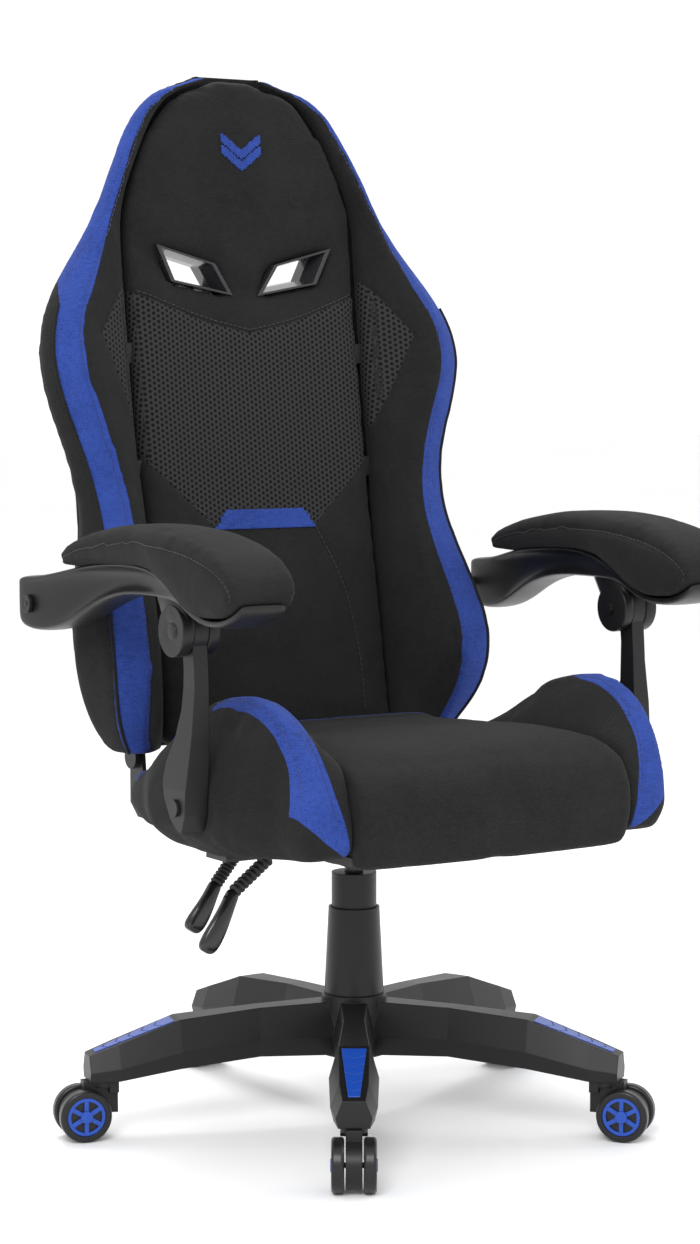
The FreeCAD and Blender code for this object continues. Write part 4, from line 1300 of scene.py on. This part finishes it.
@dataclass
class Seat:
    """Seat cushion and side wings with blue stripes, creases and stitched borders.

    The stripe and the rim of the seam are given by the angle in degrees round turn_centre, in y and z.
    """
    wardrobe: Wardrobe
    voxel: float = 0.0058
    wing_voxel: float = 0.0046
    pressure: float = 4.0
    cushion_limit: float = 0.006
    wing_limit: float = 0.009
    band: tuple[float, float] = (0.0985, 0.1200)
    band_rise: float = 0.007
    turn_centre: tuple[float, float] = (-0.150, 0.400)
    stripe_inside: tuple[tuple[float, float], ...] = (
        (-22, 0.244), (-8, 0.224), (3, 0.217), (20, 0.215), (40, 0.213), (60, 0.209), (75, 0.203),
        (88, 0.195), (100, 0.188))
    stripe_ends: tuple[float, float] = (-24.0, 103.0)
    stripe_outside: tuple[tuple[float, float], ...] = (
        (-24, 0.246), (-15, 0.250), (0, 0.254), (60, 0.254), (77, 0.250), (88, 0.238), (96, 0.216),
        (103, 0.192))
    rim_reach: tuple[tuple[float, float], ...] = (
        (-22, 0.122), (3, 0.118), (20, 0.121), (42, 0.126), (61, 0.126), (77, 0.119), (90, 0.112),
        (102, 0.110))
    rim_drop: float = 0.014
    side_fill: float = 0.034
    side_most: float = 0.2845
    stripe_inner: tuple[Point, ...] = (
        (0.226, -0.120, 0.528), (0.219, -0.150, 0.531), (0.219, -0.191, 0.529), (0.218, -0.229, 0.507),
        (0.215, -0.260, 0.476), (0.210, -0.276, 0.438), (0.202, -0.284, 0.403))
    stripe_outer: tuple[Point, ...] = (
        (0.245, -0.099, 0.524), (0.246, -0.157, 0.530), (0.246, -0.196, 0.526), (0.246, -0.243, 0.503),
        (0.245, -0.271, 0.468), (0.243, -0.281, 0.430))

    def cushion(self) -> bpy.types.Object:
        """The centre cushion with its rear band.

        Returns:
            The cushion.
        """
        body = shop.copied("seat_cushion", "seat_pad")
        band = shop.part_of("seat_trim", "seat_band", lambda middle: middle.y > 0.05 and middle.z < 0.48)
        plain, trim = shop.tree(body), shop.tree(band)
        pad = shop.joined([body, band])
        shop.skin(pad, self.voxel, 5)
        shop.mark_trim(pad, plain, trim, more=self.rear_band)
        shop.puff(pad, self.pressure, self.cushion_limit)
        self.drop_rim(pad)
        shop.finer(pad)
        return pad

    def rear_band(self, places: np.ndarray, found: np.ndarray) -> np.ndarray:
        """How far points lie inside the band across the back of the seat.

        Args:
            places: the points' places.
            found: the distances found from the solids, which the thin band is too narrow for; not used.

        Returns:
            The distances.
        """
        _, y, z = places.T
        return np.minimum(np.minimum(y - self.band[0], self.band[1] - y), z - 0.430)

    def drop_rim(self, pad: bpy.types.Object) -> None:
        """Brings the lower rim down over the edge of the board and lifts the rear band.

        Args:
            pad: the cushion.
        """
        places = shop.points(pad)
        y, z = places[:, 1], places[:, 2]
        rear = np.clip((y - self.band[0] + 0.020) / 0.020, 0, 1) * np.clip((z - 0.435) / 0.01, 0, 1)
        places[:, 2] = z - self.rim_drop * np.clip((0.392 - z) / 0.025, 0, 1) + self.band_rise * rear
        shop.move_points(pad, places)

    def stripe(self, places: np.ndarray, found: np.ndarray) -> np.ndarray:
        """How far points lie inside the wing's stripe, or the end of the rear band on its rear corner.

        Args:
            places: the points' places.
            found: the distances found from the solids; not used.

        Returns:
            The distances.
        """
        x, y, z = places.T
        back, up = y - self.turn_centre[0], z - self.turn_centre[1]
        angle = np.degrees(np.arctan2(-back, up))
        reach = np.hypot(back, up)
        inner = np.interp(angle, *zip(*self.stripe_inside))
        outer = np.interp(angle, *zip(*self.stripe_outside))
        rim = np.interp(angle, *zip(*self.rim_reach))
        band = np.minimum(np.minimum(x - inner, outer - x), reach - rim)
        ends = np.minimum(angle - self.stripe_ends[0], self.stripe_ends[1] - angle) * 0.002
        corner = np.minimum(0.006 - abs(z - 0.412), y - 0.100)
        return np.maximum(np.minimum(band, ends), corner)

    def fill_side(self, wing: bpy.types.Object) -> None:
        """Fills the wing's side out to just short of the arm upright, over the steel strap.

        Args:
            wing: the left wing.
        """
        places = shop.points(wing)
        x, y, z = places.T
        along = np.clip((y + 0.245) / 0.085, 0, 1) * np.clip((0.070 - y) / 0.110, 0, 1)
        height = np.clip((0.500 - z) / 0.090, 0, 1)
        outer = np.clip((x - 0.215) / 0.035, 0, 1)
        ease = along * along * (3 - 2 * along) * height * height * (3 - 2 * height)
        places[:, 0] = np.minimum(x + self.side_fill * ease * outer, np.maximum(x, self.side_most))
        places[:, 2] = z - 0.012 * ease * outer * np.clip((0.385 - z) / 0.02, 0, 1)
        shop.move_points(wing, places)

    def wing(self) -> bpy.types.Object:
        """The left wing with its stripe.

        Returns:
            The wing.
        """
        body = shop.copied("seat_wing_left", "seat_wing_pad_left")
        stripe = shop.part_of("seat_trim", "stripe_left", lambda middle: middle.x > 0.15 and middle.y < 0.05)
        plain, trim = shop.tree(body), shop.tree(stripe)
        wing = shop.joined([body, stripe])
        shop.skin(wing, self.wing_voxel, 5)
        shop.mark_trim(wing, plain, trim, more=self.stripe)
        shop.puff(wing, self.pressure, self.wing_limit)
        self.fill_side(wing)
        shop.finer(wing)
        return wing

    def build(self) -> None:
        """Builds the cushion, the wings and their seams."""
        pad = self.cushion()
        shop.dress(pad, self.wardrobe.cloth)
        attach(pad, "seat")
        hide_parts("seat_cushion", "seat_trim")
        wing = self.wing()
        guides = [rounded(self.stripe_inner), rounded(self.stripe_outer)]
        for guide in guides:
            shop.pressed(wing, guide, 0.003, 0.0014)
        twin = shop.other_side(wing, "seat_wing_pad_right")
        for piece, side in ((wing, "left"), (twin, "right")):
            shop.dress(piece, self.wardrobe.cloth)
            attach(piece, "seat")
            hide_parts(f"seat_wing_{side}")
            own = guides if side == "left" else mirrored(guides)
            rows = [shop.laid(piece, guide, STITCH_STEP) for guide in own]
            shop.stitched(f"wing_stitches_{side}", rows, "seat", self.wardrobe.blue_thread)
        log.info("seat: cushion %d faces, wing %d faces", len(pad.data.polygons), len(wing.data.polygons))


# ---- Backrest -----------------------------------------------------------------------------------

@dataclass
class Backrest:
    """Back cushion, bolsters with blue strips, rear cover, sewn patches, piping and vents."""
    wardrobe: Wardrobe
    voxel: float = 0.0058
    pressure: float = 4.0
    bolster_voxel: float = 0.005
    cover_voxel: float = 0.0045
    cushion_limit: float = 0.010
    bolster_limit: float = 0.008
    piping_points: int = 10
    seam_inset: float = 0.0045
    stitch_rise: float = 0.004
    head_inset: float = 0.006
    strip_edge: tuple[Point, ...] = (
        (0.226, 0.136, 0.430), (0.242, 0.124, 0.456), (0.256, 0.106, 0.492), (0.263, 0.098, 0.545),
        (0.258, 0.120, 0.612), (0.245, 0.160, 0.690), (0.252, 0.190, 0.767), (0.272, 0.200, 0.830),
        (0.286, 0.207, 0.900), (0.269, 0.223, 0.962), (0.224, 0.242, 1.028), (0.187, 0.252, 1.090),
        (0.159, 0.262, 1.150), (0.132, 0.268, 1.196), (0.094, 0.273, 1.222))
    crest: tuple[Point, ...] = (
        (0.196, 0.124, 0.430), (0.206, 0.116, 0.456), (0.212, 0.098, 0.492), (0.215, 0.090, 0.545),
        (0.213, 0.112, 0.612), (0.207, 0.148, 0.690), (0.216, 0.174, 0.767), (0.236, 0.182, 0.830),
        (0.254, 0.188, 0.900), (0.241, 0.205, 0.962), (0.202, 0.228, 1.028), (0.170, 0.240, 1.090),
        (0.144, 0.252, 1.150), (0.116, 0.260, 1.196), (0.078, 0.266, 1.222), (0.034, 0.273, 1.236))
    centre_seams: tuple[tuple[Point, ...], ...] = (
        ((0.0, 0.24, 0.925), (0.062, 0.24, 0.938), (0.122, 0.24, 0.960), (0.160, 0.24, 0.974)),
        ((0.070, 0.21, 0.689), (0.160, 0.22, 0.774)),
        ((0.072, 0.21, 0.684), (0.102, 0.195, 0.620), (0.116, 0.182, 0.546), (0.117, 0.165, 0.453)))
    side_seams: tuple[tuple[Point, ...], ...] = (
        ((0.172, 0.24, 0.986), (0.220, 0.21, 0.924)), ((0.220, 0.21, 0.924), (0.170, 0.22, 0.815)))
    lumbar: tuple[tuple[float, float], ...] = (
        (-0.069, 0.687), (-0.044, 0.687), (0.044, 0.687), (0.069, 0.687), (0.058, 0.702), (0.044, 0.711),
        (-0.044, 0.711), (-0.058, 0.702))

    def cushion(self) -> bpy.types.Object:
        """The centre panel.

        Returns:
            The panel.
        """
        pad = shop.copied("back_cushion", "back_pad")
        patch = shop.part_of("back_trim", "patches", lambda middle: abs(middle.x) < 0.05)
        pad = shop.joined([pad, patch])
        shop.skin(pad, self.voxel, 5)
        shop.puff(pad, self.pressure, self.cushion_limit)
        shop.finer(pad)
        return pad

    def head_side(self, places: np.ndarray, found: np.ndarray) -> np.ndarray:
        """How far points lie inside the strip, which wraps the side of the head outboard of the crest.

        Args:
            places: the points' places.
            found: the distances found from the solids.

        Returns:
            The distances.
        """
        x, y, z = places.T
        ridge = np.array(self.crest)
        crest = np.interp(z, ridge[:, 2], ridge[:, 0])
        border = np.array(self.strip_edge)
        edge = np.interp(z, border[:, 2], border[:, 1])
        crest += self.head_inset * np.clip((z - 0.980) / 0.080, 0, 1)
        side = np.minimum(x - crest, (z - 0.960) - np.maximum(y - edge, 0.0) * 1.5)
        front = np.where(z > 0.980, np.minimum(found, x - crest), found)
        return np.maximum(front, side)

    def bolster(self) -> bpy.types.Object:
        """The left bolster with its strip.

        Returns:
            The bolster.
        """
        body = shop.copied("back_bolster_left", "back_side_pad_left")
        strip = shop.part_of("back_trim", "strip_left", lambda middle: middle.x > 0.1)
        plain, trim = shop.tree(body), shop.tree(strip)
        bolster = shop.joined([body, strip])
        shop.skin(bolster, self.bolster_voxel, 5)
        shop.mark_trim(bolster, plain, trim, more=self.head_side)
        shop.puff(bolster, self.pressure, self.bolster_limit)
        shop.finer(bolster)
        return bolster

    def rear_cover(self) -> bpy.types.Object:
        """The cloth cover round the shell.

        Returns:
            The cover.
        """
        cover = shop.copied("back_shell", "back_cover")
        shop.skin(cover, self.cover_voxel, 3)
        shop.finer(cover)
        return cover

    def sewn_patch(self, name: str, outlines: Sequence[Sequence[tuple[float, float]]], onto: bpy.types.Object,
                   thick: float, step: float) -> bpy.types.Object:
        """A flat patch cut to convex outlines and laid on the front of a cushion.

        Args:
            name: the new piece's name.
            outlines: convex outlines in x and z that make up the patch, anticlockwise from the front.
            onto: the cushion.
            thick: how far it stands proud, in metres.
            step: the size of its mesh, in metres.

        Returns:
            The patch.
        """
        parts = []
        for outline in outlines:
            xs, zs = [x for x, _ in outline], [z for _, z in outline]
            size = max(max(xs) - min(xs), max(zs) - min(zs)) + step
            count = max(4, round(size / step))
            shop.only(onto)
            bpy.ops.object.select_all(action="DESELECT")
            bpy.ops.mesh.primitive_grid_add(
                x_subdivisions=count, y_subdivisions=count, size=size, rotation=(math.pi / 2, 0, 0),
                location=((max(xs) + min(xs)) / 2, 0.0, (max(zs) + min(zs)) / 2))
            part = bpy.context.object
            bpy.ops.object.transform_apply(location=True, rotation=True, scale=True)
            bpy.ops.object.mode_set(mode="EDIT")
            for (x0, z0), (x1, z1) in zip(outline, list(outline[1:]) + [outline[0]]):
                bpy.ops.mesh.select_all(action="SELECT")
                bpy.ops.mesh.bisect(plane_co=(x0, 0.0, z0), plane_no=(z1 - z0, 0.0, x0 - x1),
                                    clear_outer=True)
            bpy.ops.object.mode_set(mode="OBJECT")
            parts.append(part)
        patch = shop.joined(parts)
        patch.name = name
        shop.weld(patch, 0.0002)
        tree = shop.tree(onto)
        places = shop.points(patch)
        for number, (x, _, z) in enumerate(places):
            hit = tree.ray_cast(Vector((x, -0.5, z)), FRONT_AIM)
            places[number] = hit[0] + Vector((0.0, -thick * 0.35, 0.0))
        shop.move_points(patch, places)
        wall = patch.modifiers.new("Thickness", "SOLIDIFY")
        wall.thickness = thick
        wall.offset = 0.0
        shop.apply(patch, wall)
        edge = patch.modifiers.new("Rolled_edge", "BEVEL")
        edge.width = thick * 0.3
        edge.segments = 2
        edge.limit_method = "ANGLE"
        shop.apply(patch, edge)
        shop.weld(patch, 0.00001)
        shop.only(patch)
        bpy.ops.object.shade_smooth_by_angle(angle=math.radians(50))
        layer = patch.data.attributes.new("trim", "FLOAT", "POINT")
        layer.data.foreach_set("value", np.ones(len(patch.data.vertices), dtype=np.float32))
        shop.dress(patch, self.wardrobe.cloth)
        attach(patch, "back")
        return patch

    def chevron(self) -> list[list[tuple[float, float]]]:
        """Outlines of a double chevron, four slanted bars.

        Returns:
            The corners of each bar in x and z.
        """
        bars = []
        for rise in (0.0, 0.014):
            low = 1.124 + rise
            right = [(0.0, low), (0.026, low + 0.020), (0.026, low + 0.028), (0.0, low + 0.008)]
            bars += [right, [(-x, z) for x, z in reversed(right)]]
        return bars

    def build_centre(self) -> None:
        """Builds the centre panel, its seams and its sewn patches."""
        pad = self.cushion()
        seams = both([rounded(run) for run in self.centre_seams])
        for seam in seams:
            shop.pressed(pad, seam, 0.0034, 0.0022, aim=FRONT_AIM)
        shop.dress(pad, self.wardrobe.centre_cloth)
        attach(pad, "back")
        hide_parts("back_cushion", "back_trim")
        beside = [[(x, y, z + self.stitch_rise) for x, y, z in seam] for seam in seams]
        rows = [shop.laid(pad, row, STITCH_STEP, FRONT_AIM) for row in beside]
        shop.stitched("back_seam_stitches", rows, "back", self.wardrobe.black_thread)
        log.info("back cushion: %d faces", len(pad.data.polygons))
        self.sewn_patch("lumbar_patch", [self.lumbar], pad, 0.0024, 0.004)
        self.sewn_patch("head_chevron", self.chevron(), pad, 0.0016, 0.002)

    def build_sides(self) -> None:
        """Builds both bolsters with their strips, stitching and piping."""
        bolster = self.bolster()
        seam = rounded([(x + self.seam_inset, y, z) for x, y, z in self.crest[:-1]])
        border = rounded(self.strip_edge[:self.piping_points])
        shop.pressed(bolster, seam, 0.003, 0.0016)
        for guide in self.side_seams:
            shop.pressed(bolster, guide, 0.0032, 0.0018, aim=FRONT_AIM)
        twin = shop.other_side(bolster, "back_side_pad_right")
        for piece, side in ((bolster, "left"), (twin, "right")):
            shop.dress(piece, self.wardrobe.side_cloth)
            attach(piece, "back")
            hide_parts(f"back_bolster_{side}")
            own_seam, own_border = (seam, border) if side == "left" else mirrored([seam, border])
            shop.stitched(f"strip_stitches_{side}", [shop.laid(piece, own_seam, STITCH_STEP)], "back",
                          self.wardrobe.blue_thread)
            shop.corded(f"strip_piping_{side}", [shop.laid(piece, own_border, 2 * SEAM_STEP)], 0.0022,
                        0.0008, "back", self.wardrobe.cloth)
        log.info("bolsters: %d faces each", len(bolster.data.polygons))

    def build_cover(self) -> None:
        """Builds the rear cover and dresses the frame and the vents."""
        cover = self.rear_cover()
        shop.dress(cover, self.wardrobe.cloth)
        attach(cover, "back")
        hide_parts("back_shell")
        shop.dress_nodes(self.wardrobe.black_steel, "back_frame")
        shop.dress_nodes(self.wardrobe.bezel_plastic, "vent_bezels")
        log.info("rear cover: %d faces", len(cover.data.polygons))

    def build(self) -> None:
        """Builds every part of the backrest."""
        self.build_centre()
        self.build_sides()
        self.build_cover()


# ---- Studio -------------------------------------------------------------------------------------

@dataclass
class Softbox:
    """One square light."""
    name: str
    place: Point
    target: Point
    size: float
    power: float

    def build(self) -> None:
        """Adds the light, turned to its target."""
        data = bpy.data.lights.new(self.name, "AREA")
        data.size = self.size
        data.energy = self.power
        light = bpy.data.objects.new(self.name, data)
        bpy.context.scene.collection.objects.link(light)
        light.location = self.place
        light.rotation_euler = (Vector(self.target) - Vector(self.place)).to_track_quat("-Z", "Y").to_euler()


@dataclass
class Studio:
    """Pale floor, soft lights and the camera."""
    camera_place: Point = (-1.840, -2.910, 0.877)
    turn: float = -32.3
    pitch: float = -4.82
    lens: float = 85.72
    shift_x: float = -0.003
    sensor: float = 36.0
    brightness: float = 1.08
    boxes: list[Softbox] = field(default_factory=lambda: [
        Softbox("key_light", (-2.2, -2.4, 2.8), (0.0, 0.0, 0.6), 1.6, 90.0),
        Softbox("fill_light", (3.2, -1.2, 1.6), (0.0, 0.0, 0.6), 1.2, 22.0),
        Softbox("top_light", (0.2, 1.2, 3.4), (0.0, 0.0, 0.7), 1.6, 60.0)])

    def build(self) -> None:
        """Builds the floor, the lights and the camera."""
        bpy.ops.object.select_all(action="DESELECT")
        bpy.ops.mesh.primitive_plane_add(size=60.0, location=(0.0, 0.0, 0.0))
        floor = bpy.context.object
        floor.name = "studio_floor"
        shop.dress(floor, StudioFloor().build())
        for softbox in self.boxes:
            softbox.build()
        world = bpy.data.worlds.new("studio_air")
        world.use_nodes = True
        air = world.node_tree.nodes["Background"]
        air.inputs[0].default_value = (1.0, 1.0, 1.0, 1.0)
        air.inputs[1].default_value = self.brightness
        bpy.context.scene.world = world
        bpy.context.scene.view_settings.view_transform = "Standard"
        data = bpy.data.cameras.new("portrait_camera")
        data.lens = self.lens
        data.sensor_width = self.sensor
        data.sensor_fit = "AUTO"
        data.shift_x = self.shift_x
        camera = bpy.data.objects.new("portrait_camera", data)
        bpy.context.scene.collection.objects.link(camera)
        camera.location = self.camera_place
        camera.rotation_euler = (math.radians(90.0 + self.pitch), 0.0, math.radians(self.turn))
        bpy.context.scene.camera = camera
        log.info("studio: floor, %d lights and camera", len(self.boxes))


def main() -> None:
    """Builds the chair's looks part by part."""
    logging.basicConfig(level=logging.INFO, format="%(name)s: %(message)s")
    wardrobe = Wardrobe()
    Undercarriage(wardrobe).build()
    Levers(wardrobe).build()
    Arms(wardrobe).build()
    Seat(wardrobe).build()
    Backrest(wardrobe).build()
    Studio().build()


if __name__ == "__main__":
    main()
